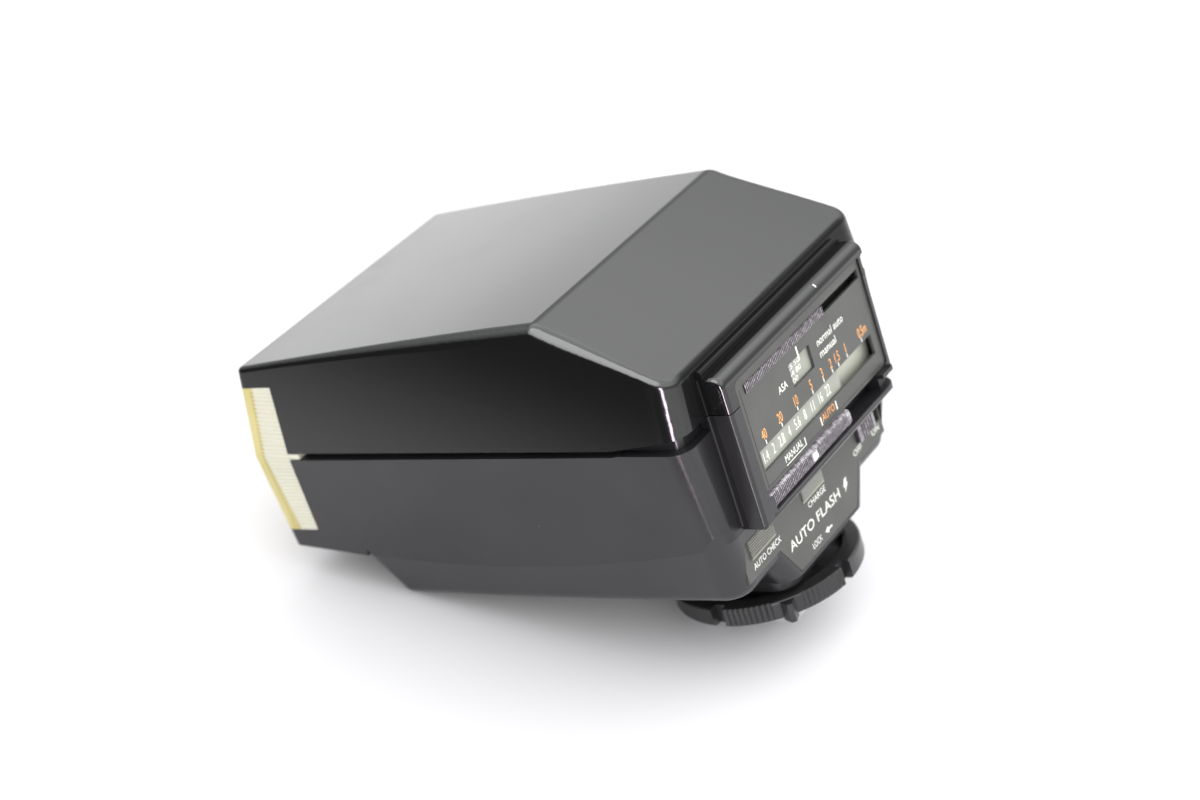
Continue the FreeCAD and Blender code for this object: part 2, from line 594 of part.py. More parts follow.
def build_calculator():
    panel_back = PANEL_Y - PANEL_THICK
    panel = block((PANEL_RIGHT + PANEL_GAP, PANEL_LEFT - PANEL_GAP), (panel_back, PANEL_Y),
                  (PANEL_BOTTOM_Z + PANEL_GAP, PANEL_TOP_Z - PANEL_GAP))
    panel = fillet_where(panel, PANEL_CORNER, lambda e: along(e, "y"))
    through = (PANEL_Y - 3.0, PANEL_Y + 1.0)
    panel = panel.cut([window_slab(UPPER_SLOT, through, SLIDE_CLEAR), window_slab(SPEED_WINDOW, through),
                       window_slab(NUMBER_WINDOW, through)])
    node("calculator_panel", panel)

    back_y = (PLATE_BACK_Y + 0.02, PLATE_BACK_Y + BACK_PLATE)
    node("calculator_index_plate", block((-PLATE_HALF + 0.1, PLATE_HALF - 0.1), back_y, (34.5, 54.1)))

    # the exposure plate runs behind the panel, and its stub carries the film speed knob
    slot_z = UPPER_SLOT[2:]
    knob_x = (UPPER_SLOT[1] - SPEED_KNOB_LENGTH, UPPER_SLOT[1] - SLIDE_CLEAR)
    knob_y = (PANEL_Y - 0.6, PANEL_Y + 0.25)
    plate_x = (SPEED_TRAVEL + 0.2 - PLATE_HALF, PLATE_HALF - 0.1)
    plate = block(plate_x, (back_y[1] + 0.15, panel_back - 0.12), PLATE_Z)
    stub = block(knob_x, (panel_back - 0.2, knob_y[0]), (slot_z[0] + 0.2, slot_z[1] - 0.2))
    node("exposure_plate", joined([plate, stub]))
    knob = block(knob_x, knob_y, (slot_z[0] + 0.03, slot_z[1] - 0.03))
    across = (slot_z[0] - 1, slot_z[1] + 1)
    node("film_speed_knob", knob.cut(knurl(knob_x, KNURL_PITCH, knob_y[1], across, 0.22)))

    z0 = LOWER_SLOT_Z[0] + SLIDE_CLEAR
    z1 = LOWER_SLOT_Z[1] - SLIDE_CLEAR
    bar = block((MODE_RIGHT, MODE_LEFT), (PLATE_BACK_Y + 0.1, MODE_Y), (z0, z1))
    bar = fillet_where(bar, 0.7, lambda e: along(e, "x") and e.BoundBox.YMin > MODE_Y - 0.1)
    grooves = []
    for x in ((MODE_RIGHT + 1.2, MODE_INDEX_X - 0.8), (MODE_INDEX_X + 0.8, MODE_LEFT - 0.4)):
        grooves += knurl(x, KNURL_PITCH, MODE_Y, (z0 - 1, z1 + 1), 0.25)
    node("mode_slider", bar.cut(grooves))
    node("mode_index_mark", block((MODE_INDEX_X - 0.5, MODE_INDEX_X + 0.5), (MODE_Y + 0.01, MODE_Y + 0.12),
                                  (z0 + 0.75, z1 - 0.75)))


def build_indicators():
    label = slab_y(label_outline(0.0), LABEL_Y - LABEL_THICK, LABEL_Y)
    node("label_panel", label.cut(panel_openings(LABEL_Y - 3.0, LABEL_Y + 1.0, 0.06)))

    back_y = LABEL_Y - INDICATOR_DEPTH
    face_y = LABEL_Y + LAMP_PROUD
    charge = window_slab(CHARGE_LAMP, (back_y + 0.6, face_y))
    node("charge_lamp", fillet_where(charge, 0.35, lambda e: e.BoundBox.YMin > LABEL_Y))
    check = window_slab(CHECK_LAMP, (back_y + 0.2, face_y))
    ribs = []
    rib_x = (CHECK_LAMP[0] - 1, CHECK_LAMP[1] + 1)
    for k in range(LAMP_RIBS):
        z = CHECK_LAMP[2] + (k + 1) * 0.45
        ribs.append(block(rib_x, (face_y - 0.25, face_y + 1), (z, z + 0.18)))
    node("auto_check_lamp", check.cut(ribs))
    x1 = SWITCH_SLOT[1] - 0.2
    x0 = x1 - POWER_KNOB_LENGTH
    z = SWITCH_SLOT[2:]
    knob_y = LABEL_Y + KNOB_PROUD
    knob = block((x0, x1), (back_y + 0.4, knob_y), (z[0] + SLIDE_CLEAR, z[1] - SLIDE_CLEAR))
    node("power_knob", knob.cut(knurl((x0 + 0.6, x1 - 0.5), 0.9, knob_y, (z[0] - 1, z[1] + 1), 0.35)))

    board_y = (back_y - 2.2, back_y - 1.0)
    node("indicator_board", block((-25.6, 25.6), board_y, (19.4, 29.6)))
    middle = (CHARGE_LAMP[0] + CHARGE_LAMP[1]) / 2
    leds = []
    for x, window in ((middle - 2.6, CHARGE_LAMP), ((CHECK_LAMP[0] + CHECK_LAMP[1]) / 2, CHECK_LAMP)):
        z = (window[2] + window[3]) / 2
        leds.append(rod(LED_RADIUS, (x, board_y[1], z), (x, back_y + 0.5 - CHARGE_TRAVEL, z)))
    node("indicator_leds", leds)
    switch_y = (board_y[1] + 0.01, back_y + 0.55 - CHARGE_TRAVEL)
    switch_z = (CHARGE_LAMP[2] + 0.3, CHARGE_LAMP[3] - 1.4)
    node("test_switch", block((middle - 0.9, middle + 2.0), switch_y, switch_z))
    node("power_switch_body", block((-25.3, -14.0), (board_y[1] + 0.01, back_y + 0.3), (20.2, 26.0)))


def knurl(x, pitch, y_top, z, depth):
    """V grooves across a bar whose face is at y_top."""
    count = int((x[1] - x[0]) / pitch)
    grooves = []
    for k in range(count):
        centre = x[0] + (k + 0.5) * pitch
        left = V(centre - pitch * 0.36, y_top + 0.02, z[0])
        right = V(centre + pitch * 0.36, y_top + 0.02, z[0])
        wire = Part.makePolygon([left, V(centre, y_top - depth, z[0]), right, left])
        grooves.append(Part.Face(wire).extrude(V(0, 0, z[1] - z[0])))
    return grooves


# ---------------------------------------------------------------------------------------------
# shoe foot and lock ring
# ---------------------------------------------------------------------------------------------

def foot_cuts():
    """Seat for the foot base, its stem and its screws in the underside of the neck."""
    seat = block((-FOOT_BASE_HALF + 2.4, FOOT_BASE_HALF - 2.4), (-9.6, 9.6), (NECK_BOTTOM_Z - 1, 14.5))
    bore = rod(7.3, (0, 0, NECK_BOTTOM_Z), (0, 0, FLOOR_Z + 4.0))
    holes = [rod(FOOT_SCREW_RADIUS + 0.1, (x, y, 14.0), (x, y, 19.0)) for x, y in FOOT_SCREWS]
    return [seat, bore] + holes


def ring_point(radius, degrees):
    """Angle measured from +Y towards +X."""
    a = math.radians(degrees)
    return (radius * math.sin(a), radius * math.cos(a))


def build_ring():
    rim = rod(RING_RADIUS, (0, 0, RING_Z[0]), (0, 0, RING_Z[1]))
    rim = fillet_where(rim, 0.5, lambda e: e.BoundBox.XLength > 30)
    tabs = []
    cutters = [rod(RING_RIM_RADIUS, (0, 0, RING_WEB_Z), (0, 0, RING_Z[1] + 1)).cut(
        rod(RING_HUB_RADIUS, (0, 0, RING_WEB_Z - 1), (0, 0, RING_Z[1] + 1)))]
    for turn in (0, 180):
        middle = RING_SYMMETRY + turn
        tip = [ring_point(RING_RADIUS - 2.0, middle - 4.6), ring_point(RING_RADIUS, middle - 4.3),
               ring_point(RING_TAB_RADIUS, middle - 1.4), ring_point(RING_TAB_RADIUS, middle + 1.4),
               ring_point(RING_RADIUS, middle + 4.3), ring_point(RING_RADIUS - 2.0, middle + 4.6)]
        wire = Part.makePolygon([V(x, y, RING_Z[0] - 0.3) for x, y in tip + tip[:1]])
        tabs.append(Part.Face(wire).extrude(V(0, 0, RING_Z[1] - RING_Z[0])))
        for side in (-1, 1):
            for k in range(9):
                degrees = middle + side * (11.0 + k * RING_RIB_PITCH)
                x, y = ring_point(RING_RADIUS + 0.35, degrees)
                cutters.append(rod(RING_RIB_DEPTH + 0.1, (x, y, RING_Z[0] - 1), (x, y, RING_Z[1] + 1)))
            notch = [ring_point(r, middle + side * d) for r, d in
                     ((RING_RADIUS + 1, 39.0), (RING_RADIUS - RING_NOTCH_DEPTH, 39.6),
                      (RING_RADIUS - RING_NOTCH_DEPTH, 47.0), (RING_RADIUS + 1, 47.6))]
            wire = Part.makePolygon([V(x, y, RING_Z[0] - 1) for x, y in notch + notch[:1]])
            cutters.append(Part.Face(wire).extrude(V(0, 0, 6)))
    bore = rod(STEM_RADIUS + 0.05, (0, 0, 0), (0, 0, 10))
    ring = joined([rim] + tabs).cut(cutters + [bore])
    node("lock_ring", largest(ring))


def build_foot():
    plate = block((-FOOT_WIDTH / 2, FOOT_WIDTH / 2), (-FOOT_LENGTH / 2, FOOT_LENGTH / 2), (0, FOOT_THICK))
    plate = fillet_where(plate, 1.0, lambda e: along(e, "z"))
    plate = plate.cut(block((-6.4, 6.4), (-4.4, 5.2), (-1, FOOT_THICK - 0.6)))
    plate = plate.cut(rod(5.0, (0, 0, -1), (0, 0, 5)))
    node("shoe_plate", plate)

    stem = rod(STEM_RADIUS, (0, 0, FOOT_THICK), (0, 0, NECK_BOTTOM_Z + 2.0))
    flats = block((-10, 10), (-STEM_FLAT, STEM_FLAT), (0, CLAMP_Z[1] + 0.06))
    threaded = block((-10, 10), (-10, 10), (CLAMP_Z[1] + 0.06, 20))
    stem = stem.common(flats.fuse(threaded)).cut(rod(4.0, (0, 0, 0), (0, 0, 20)))
    node("foot_stem", largest(stem))

    clamp = block((-9.2, 9.2), (-9.6, 9.6), CLAMP_Z)
    clamp = fillet_where(clamp, 1.5, lambda e: along(e, "z"))
    hole = rod(STEM_RADIUS + 0.05, (0, 0, 0), (0, 0, 8)).common(
        block((-10, 10), (-STEM_FLAT - 0.05, STEM_FLAT + 0.05), (0, 8)))
    node("clamp_plate", clamp.cut(hole))

    across = (-FOOT_BASE_HALF, FOOT_BASE_HALF)
    base = block(across, across, (8.1, NECK_BOTTOM_Z - 0.02))
    base = fillet_where(base, 4.0, lambda e: along(e, "z"))
    plug = block((-9.5, 9.5), (-9.5, 9.5), (NECK_BOTTOM_Z - 0.5, 14.4))
    base = joined([base, plug])
    cuts = [rod(STEM_RADIUS + 0.02, (0, 0, 5), (0, 0, NECK_BOTTOM_Z + 2.02))]
    cuts.append(rod(4.0, (0, 0, 5), (0, 0, 20)))
    cuts += [rod(FOOT_SCREW_RADIUS + 0.03, (x, y, 10.0), (x, y, 15.0)) for x, y in FOOT_SCREWS]
    node("foot_base", largest(base.cut(cuts)))
    screws = []
    seat_z = FLOOR_Z + WALL + 0.02
    for x, y in FOOT_SCREWS:
        shank = rod(FOOT_SCREW_RADIUS, (x, y, 10.5), (x, y, seat_z + 0.5))
        head = rod(1.4, (x, y, seat_z), (x, y, seat_z + 1.0))
        screws.append(joined([shank, head]))
    node("foot_screws", screws)

    insulator = block((-6.3, 6.3), (-4.3, 5.1), (0.05, FOOT_THICK - 0.65))
    insulator = insulator.fuse(rod(3.9, (0, 0, 1.0), (0, 0, 6.0))).removeSplitter()
    pins = [("centre_contact", 0.0, 0.0, PIN_RADIUS)]
    pins += [(name, x, y, SIDE_PIN_RADIUS) for name, (x, y) in
             zip(("side_contact_right", "side_contact_left"), SIDE_PINS)]
    for name, x, y, radius in pins:
        centre = name == "centre_contact"
        top = 3.4 if centre else 0.75
        roof = 5.0 if centre else 1.3
        insulator = insulator.cut(rod(radius + 0.05, (x, y, -1), (x, y, roof)))
        pin = rod(radius, (x, y, -PIN_PROUD), (x, y, top))
        pin = fillet_where(pin, radius * 0.45, lambda e: e.BoundBox.ZMax < -PIN_PROUD + 0.01)
        if not centre:
            pin = rod(radius, (x, y, -SIDE_PIN_PROUD), (x, y, top))
        node(name, pin)
    node("contact_insulator", largest(insulator))
    spring = coil(0.85, 0.13, 3.45, 4.95, 4.0)
    node("contact_spring", spring)


def coil(radius, wire_radius, z0, z1, turns):
    """Round-wire spring about the Z axis."""
    height = z1 - z0 - 2 * wire_radius
    helix = Part.makeHelix(height / turns, height, radius)
    helix.translate(V(0, 0, z0 + wire_radius))
    section = Part.Wire(Part.makeCircle(wire_radius, V(radius, 0, z0 + wire_radius), V(0, 1, 0)))
    return Part.Wire(helix).makePipeShell([section], True, True)


# ---------------------------------------------------------------------------------------------
# battery compartment
# ---------------------------------------------------------------------------------------------

def door_cuts():
    """The opening in the chamber's floor, and the hole for the hinge pin's ends."""
    rear = HINGE_Y + DOOR_THICK / 2 + HINGE_GAP
    opening = block((-DOOR_X, DOOR_X), (DOOR_FRONT_Y, rear), (FLOOR_Z - 1.0, FLOOR_Z + WALL + 0.4))
    return [opening, hinge_line(HINGE_PIN_RADIUS + 0.02, HINGE_PIN_HALF + 0.1)]


def build_battery():
    half = DOOR_X - DOOR_GAP
    front = DOOR_FRONT_Y + DOOR_GAP
    door = block((-half, half), (front, HINGE_Y), (FLOOR_Z, FLOOR_Z + DOOR_THICK))
    door = joined([door, hinge_line(DOOR_THICK / 2, half)])
    door = door.cut(hinge_line(HINGE_PIN_RADIUS + 0.05, half + 1.0))
    grip = []
    for k in range(GRIP_RIBS):
        y = front + 3.0 + 1.4 * k
        grip.append(block((-9.0, 9.0), (y, y + 0.7), (FLOOR_Z - 1.0, FLOOR_Z + 0.35)))
    node("battery_door", largest(door.cut(grip)))
    node("door_hinge_pin", hinge_line(HINGE_PIN_RADIUS, HINGE_PIN_HALF))

    tray = block((-26.9, 26.9), (-58.0, -26.4), (FLOOR_Z + WALL + 0.35, 34.6))
    tray = tray.cut(block((-26.3, 26.3), (-57.2, -27.2), (10.0, 33.8)))
    tray = tray.cut([rod(0.6, (-25.8, y, 33.0), (-25.8, y, 36.0)) for y in CELL_Y])
    node("battery_tray", largest(tray.common(lower_envelope(WALL + 0.15, False))))
    end = CELL_LENGTH / 2
    for name, y, sign in (("battery_cell_front", CELL_Y[0], 1), ("battery_cell_rear", CELL_Y[1], -1)):
        can = rod(CELL_RADIUS, (-end, y, CELL_Z), (end - 1.0, y, CELL_Z))
        nub = rod(2.75, (end - 1.2, y, CELL_Z), (end, y, CELL_Z))
        cell = joined([fillet_where(can, 0.5, lambda e: e.BoundBox.YLength > 10), nub])
        node(name, cell if sign > 0 else cell.mirror(V(0, 0, 0), V(1, 0, 0)))
    strip_z = (20.5, 31.0)
    strip_x = (end + 0.6, end + 1.0)
    node("battery_jumper", block(strip_x, (-56.4, -28.0), strip_z))
    far_x = (-strip_x[1], -strip_x[0])
    node("battery_terminals", [block(far_x, (y - 5.5, y + 5.5), strip_z) for y in CELL_Y])
    springs = []
    for y, sign in ((CELL_Y[0], -1), (CELL_Y[1], 1)):
        cone = Part.makeCone(3.6, 2.0, 0.5, V(sign * (end + 0.58), y, CELL_Z), V(-sign, 0, 0))
        springs.append(cone.cut(rod(1.2, (sign * 24, y, CELL_Z), (sign * 27, y, CELL_Z))))
    node("battery_springs", springs)


# ---------------------------------------------------------------------------------------------
# flash head and electronics
# ---------------------------------------------------------------------------------------------

def sensor_hole():
    return rod(SENSOR_RADIUS, (0, -75.0, SENSOR_Z), (0, -55.0, SENSOR_Z))


def trough(offset):
    """Parabola drawn out along X, grown by offset."""
    focal = (REFLECTOR_HEIGHT / 2) ** 2 / (4 * REFLECTOR_DEPTH)
    grow = 1 + offset / (REFLECTOR_HEIGHT / 2)
    points = []
    for k in range(-6, 7):
        h = k / 6 * REFLECTOR_HEIGHT / 2
        y = REFLECTOR_FRONT_Y + REFLECTOR_DEPTH - h * h / (4 * focal) + (offset if abs(k) < 6 else 0)
        points.append(V(-REFLECTOR_HALF, y, AXIS_Z + h * grow))
    curve = Part.BSplineCurve()
    curve.interpolate(points)
    wire = Part.Wire([curve.toShape(), Part.makeLine(points[-1], points[0])])
    return Part.Face(wire).extrude(V(2 * REFLECTOR_HALF, 0, 0))


def tube_line(radius, x0, x1):
    """Round bar along the flash tube's axis."""
    return rod(radius, (x0, TUBE_Y, AXIS_Z), (x1, TUBE_Y, AXIS_Z))


def build_head():
    back_y = REFLECTOR_FRONT_Y + REFLECTOR_DEPTH
    sheet = trough(REFLECTOR_SHEET).cut(trough(0.0).translated(V(0, -0.001, 0)))
    reach = REFLECTOR_HEIGHT / 2 + REFLECTOR_SHEET
    cheek_z = (AXIS_Z - reach, AXIS_Z + reach)
    cheeks = [block((x, x + REFLECTOR_SHEET), (REFLECTOR_FRONT_Y, back_y + REFLECTOR_SHEET), cheek_z)
              for x in (-REFLECTOR_HALF - REFLECTOR_SHEET, REFLECTOR_HALF)]
    reflector = joined([sheet] + cheeks).cut(tube_line(TUBE_RADIUS + 1.3, -40, 40))
    node("reflector", largest(reflector))

    outer = REFLECTOR_HALF + 1.6
    frame = block((-outer, outer), (REFLECTOR_FRONT_Y, back_y + 1.0), (32.6, 61.0))
    inner = REFLECTOR_HALF + 0.5
    opening_z = (cheek_z[0] - 0.2, cheek_z[1] + 0.2)
    cuts = [block((-inner, inner), (REFLECTOR_FRONT_Y - 5, back_y + 0.6), opening_z),
            block((-40, 40), (TUBE_Y, -50), (AXIS_Z - 2.4, AXIS_Z + 2.4)),
            tube_line(TUBE_RADIUS + 1.4, -40, 40)]
    cuts += upright(SCREW_RADIUS - 0.1, HEAD_SCREW, 20.0, 34.5)
    inside = lower_envelope(WALL + 0.1, False).fuse(upper_envelope(WALL + 0.1))
    node("reflector_frame", largest(frame.cut(cuts).common(inside)))
    node("reflector_screws", screws(HEAD_SCREW, HEAD_SCREW_SEAT_Z, 34.0))

    node("flash_tube", tube_line(TUBE_RADIUS, -27.2, 27.2))
    caps = []
    for s in (-1, 1):
        cap = tube_line(TUBE_RADIUS + 1.25, s * 27.0, s * 29.6)
        socket = tube_line(TUBE_RADIUS + 0.01, s * 26.0, s * 27.4)
        caps.append(cap.cut([socket, tube_line(0.52, s * 26.0, s * 31.0)]))
    node("tube_end_caps", caps)
    node("tube_electrodes", [tube_line(0.5, s * 27.22, s * 30.4) for s in (-1, 1)])

    window = rod(SENSOR_RADIUS - 0.1, (0, -62.4, SENSOR_Z), (0, -59.2, SENSOR_Z))
    reach = SENSOR_RADIUS
    face = [(CHAMBER_FRONT_Y - 1.9 - CHAMBER_FRONT_SLOPE * h, SENSOR_Z + h) for h in (-reach, reach)]
    keep = slab_x([face[0], (-50, SENSOR_Z - reach), (-50, SENSOR_Z + reach), face[1]], -5, 5)
    node("sensor_window", largest(window.common(keep)))
    node("sensor_photodiode", block((-1.6, 1.6), (-59.1, -58.15), (SENSOR_Z - 1.4, SENSOR_Z + 1.4)))


def screws(sides, seat_z, tip_z):
    """A pair of screws that point up, with the shoulders of their slotted heads at seat_z."""
    pair = []
    shanks = upright(SCREW_RADIUS - 0.15, sides, seat_z - 0.6, tip_z)
    heads = upright(SCREW_HEAD_RADIUS, sides, seat_z - 1.3, seat_z - 0.01)
    for s, shank, head in zip((-1, 1), shanks, heads):
        x, y = s * sides[0], sides[1]
        slot = block((x - 1.5, x + 1.5), (y - 0.25, y + 0.25), (seat_z - 1.4, seat_z - 0.8))
        pair.append(joined([head, shank]).cut(slot))
    return pair


def build_electronics():
    top = BOARD_Z + BOARD_THICK
    foot = top + 0.01
    node("main_pcb", block((-29.4, 29.4), (-55.0, 2.4), (BOARD_Z, top)))
    node("transformer", block((-25.0, -8.0), (-22.0, -6.0), (foot, top + 14.0)))
    node("trigger_coil", rod(4.0, (-26.0, -26.6, top + 4.2), (-17.0, -26.6, top + 4.2)))
    parts = [block((-2.0, 6.0), (-14.0, -9.0), (foot, top + 11.0)),
             block((10.0, 18.0), (-20.0, -15.6), (foot, top + 10.0)),
             block((-28.0, -26.0), (-20.0, -10.0), (foot, top + 7.0))]
    for x, y, radius, height in ((22.0, -8.0, 3.2, 11.0), (12.0, -4.0, 2.5, 8.0), (24.0, -22.0, 4.0, 7.0)):
        parts.append(rod(radius, (x, y, foot), (x, y, top + height)))
    for k in range(7):
        y = -3.4 - 2.6 * k
        parts.append(rod(0.9, (-6.0, y, top + 0.95), (-3.0, y, top + 0.95)))
    node("pcb_components", parts)
    node("case_screws", screws((POST_X, POST_Y), FLOOR_Z + SCREW_SEAT, 54.0))

    start = (-CAPACITOR_LENGTH / 2, CAPACITOR_Y, CAPACITOR_Z)
    end = (CAPACITOR_LENGTH / 2, CAPACITOR_Y, CAPACITOR_Z)
    can = rod(CAPACITOR_RADIUS, start, end)
    node("main_capacitor", fillet_where(can, 1.0, lambda e: e.BoundBox.YLength > 20))
    ring = rod(CAPACITOR_RADIUS + 1.2, (-4, CAPACITOR_Y, CAPACITOR_Z), (4, CAPACITOR_Y, CAPACITOR_Z))
    base = block((-4, 4), (CAPACITOR_Y - 10, CAPACITOR_Y + 10), (top + 0.02, CAPACITOR_Z - 8))
    node("capacitor_clamp", largest(joined([ring, base]).cut(rod(CAPACITOR_RADIUS + 0.03, start, end))))

    shoe_wires = []
    for k, x in enumerate((-1.6, 0.0, 1.6)):
        y = 0.9 * k
        bends = [(x, y, 6.2), (x, y, 24.0), (3 * x, -3.0, 30.0), (3 * x, -3.0, BOARD_Z - 0.05)]
        shoe_wires.append(wire_run(bends))
    node("shoe_wires", shoe_wires)
    node("battery_wires", [wire_run([(-25.8, y, 31.02), (-25.8, y, BOARD_Z - 0.02)]) for y in CELL_Y])
    tube_wires = []
    for s in (-1, 1):
        tube_wires.append(wire_run([(s * 30.1, TUBE_Y + 0.95, AXIS_Z), (s * 30.1, -57.0, AXIS_Z),
                                    (s * 28.6, -54.0, 41.0), (s * 28.6, -54.0, top + 0.05)]))
    node("tube_wires", tube_wires)


def wire_run(points):
    """Insulated wire through a few points."""
    radius = 0.42
    pieces = [rod(radius, a, b) for a, b in zip(points, points[1:])]
    pieces += [Part.makeSphere(radius, V(*p)) for p in points[1:-1]]
    return joined(pieces)


# ---------------------------------------------------------------------------------------------

build_casing()
build_calculator()
build_indicators()
build_ring()
build_foot()
build_battery()
build_head()
build_electronics()

os.makedirs("parts", exist_ok=True)
for name, shape in NODES.items():
    shape.exportStep("parts/" + name + ".step")
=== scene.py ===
import json
import math

import bmesh
import bpy
from mathutils import Matrix, Vector


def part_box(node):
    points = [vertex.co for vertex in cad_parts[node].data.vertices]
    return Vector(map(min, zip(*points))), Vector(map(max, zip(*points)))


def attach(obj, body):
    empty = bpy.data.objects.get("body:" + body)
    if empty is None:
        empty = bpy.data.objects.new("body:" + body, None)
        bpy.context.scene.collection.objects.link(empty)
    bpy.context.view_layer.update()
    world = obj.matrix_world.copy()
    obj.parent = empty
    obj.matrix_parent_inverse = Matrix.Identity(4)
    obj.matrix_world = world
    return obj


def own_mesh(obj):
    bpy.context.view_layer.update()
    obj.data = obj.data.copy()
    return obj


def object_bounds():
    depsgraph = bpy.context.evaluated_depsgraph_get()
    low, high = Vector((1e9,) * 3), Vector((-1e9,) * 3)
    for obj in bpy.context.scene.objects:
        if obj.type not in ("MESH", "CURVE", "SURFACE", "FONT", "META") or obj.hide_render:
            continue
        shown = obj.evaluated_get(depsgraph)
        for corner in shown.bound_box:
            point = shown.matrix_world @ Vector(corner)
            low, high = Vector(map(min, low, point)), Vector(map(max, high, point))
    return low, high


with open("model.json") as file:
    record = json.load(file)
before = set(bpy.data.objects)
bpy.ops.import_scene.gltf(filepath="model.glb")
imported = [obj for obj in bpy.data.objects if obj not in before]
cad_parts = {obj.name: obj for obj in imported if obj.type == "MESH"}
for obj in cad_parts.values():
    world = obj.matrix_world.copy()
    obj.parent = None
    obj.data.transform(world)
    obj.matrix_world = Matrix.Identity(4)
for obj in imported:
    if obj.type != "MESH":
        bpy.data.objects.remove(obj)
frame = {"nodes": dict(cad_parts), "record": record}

CAD_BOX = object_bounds()
MM = 0.001
NODES = frame["nodes"]

# ---------------------------------------------------------------------------------------------
# viewing angle: the camera looks at the middle of the body from behind, to the user's left, and from above
# ---------------------------------------------------------------------------------------------
VIEW_AZIMUTH = math.radians(39.59)      # from +X towards +Y
VIEW_ELEVATION = math.radians(22.67)
VIEW_ROLL = math.radians(-18.66)        # the body tips forward, so the camera is rolled with the table
VIEW_DISTANCE = 0.4698
VIEW_OFFSET = Vector((-0.0014, 0.0028, 0.0043))     # from the middle of the object's box
LENS = 77.8
SENSOR = 36.0
FOCUS_LEAD = 0.045              # the focus lies this far in front of the target, by the panel's left end
APERTURE = 16.0

# places on the CAD that the materials and the print follow, in metres
SEAM_Z = 48.2 * MM              # the parting line along the sides, where the window's face is bent
NOSE_Y = -78.2 * MM             # just in front of the window's face at the seam
WINDOW_RIBS = 38                # as many pitches as in the CAD
HOOD_TOP_Z = 57.3 * MM
HOOD_BOTTOM_Z = 28.8 * MM
HOOD_CROWN = 2.0 * MM           # radius along the top of the hood
STEP_Y = 18.0 * MM              # just rearwards of the ledge between the slope and the hood
BACK_PLATE_Y = 17.55 * MM       # between the fixed plate and the exposure plate
SPEED_SLOT_Z = 49.2 * MM        # above this both plates show only through the film speed knob's slot, painted black as painted shade
LAMP_EDGE_Z = (22.0 * MM, 22.3 * MM)    # the painted highlight on the lamps' lower edge fades out over this
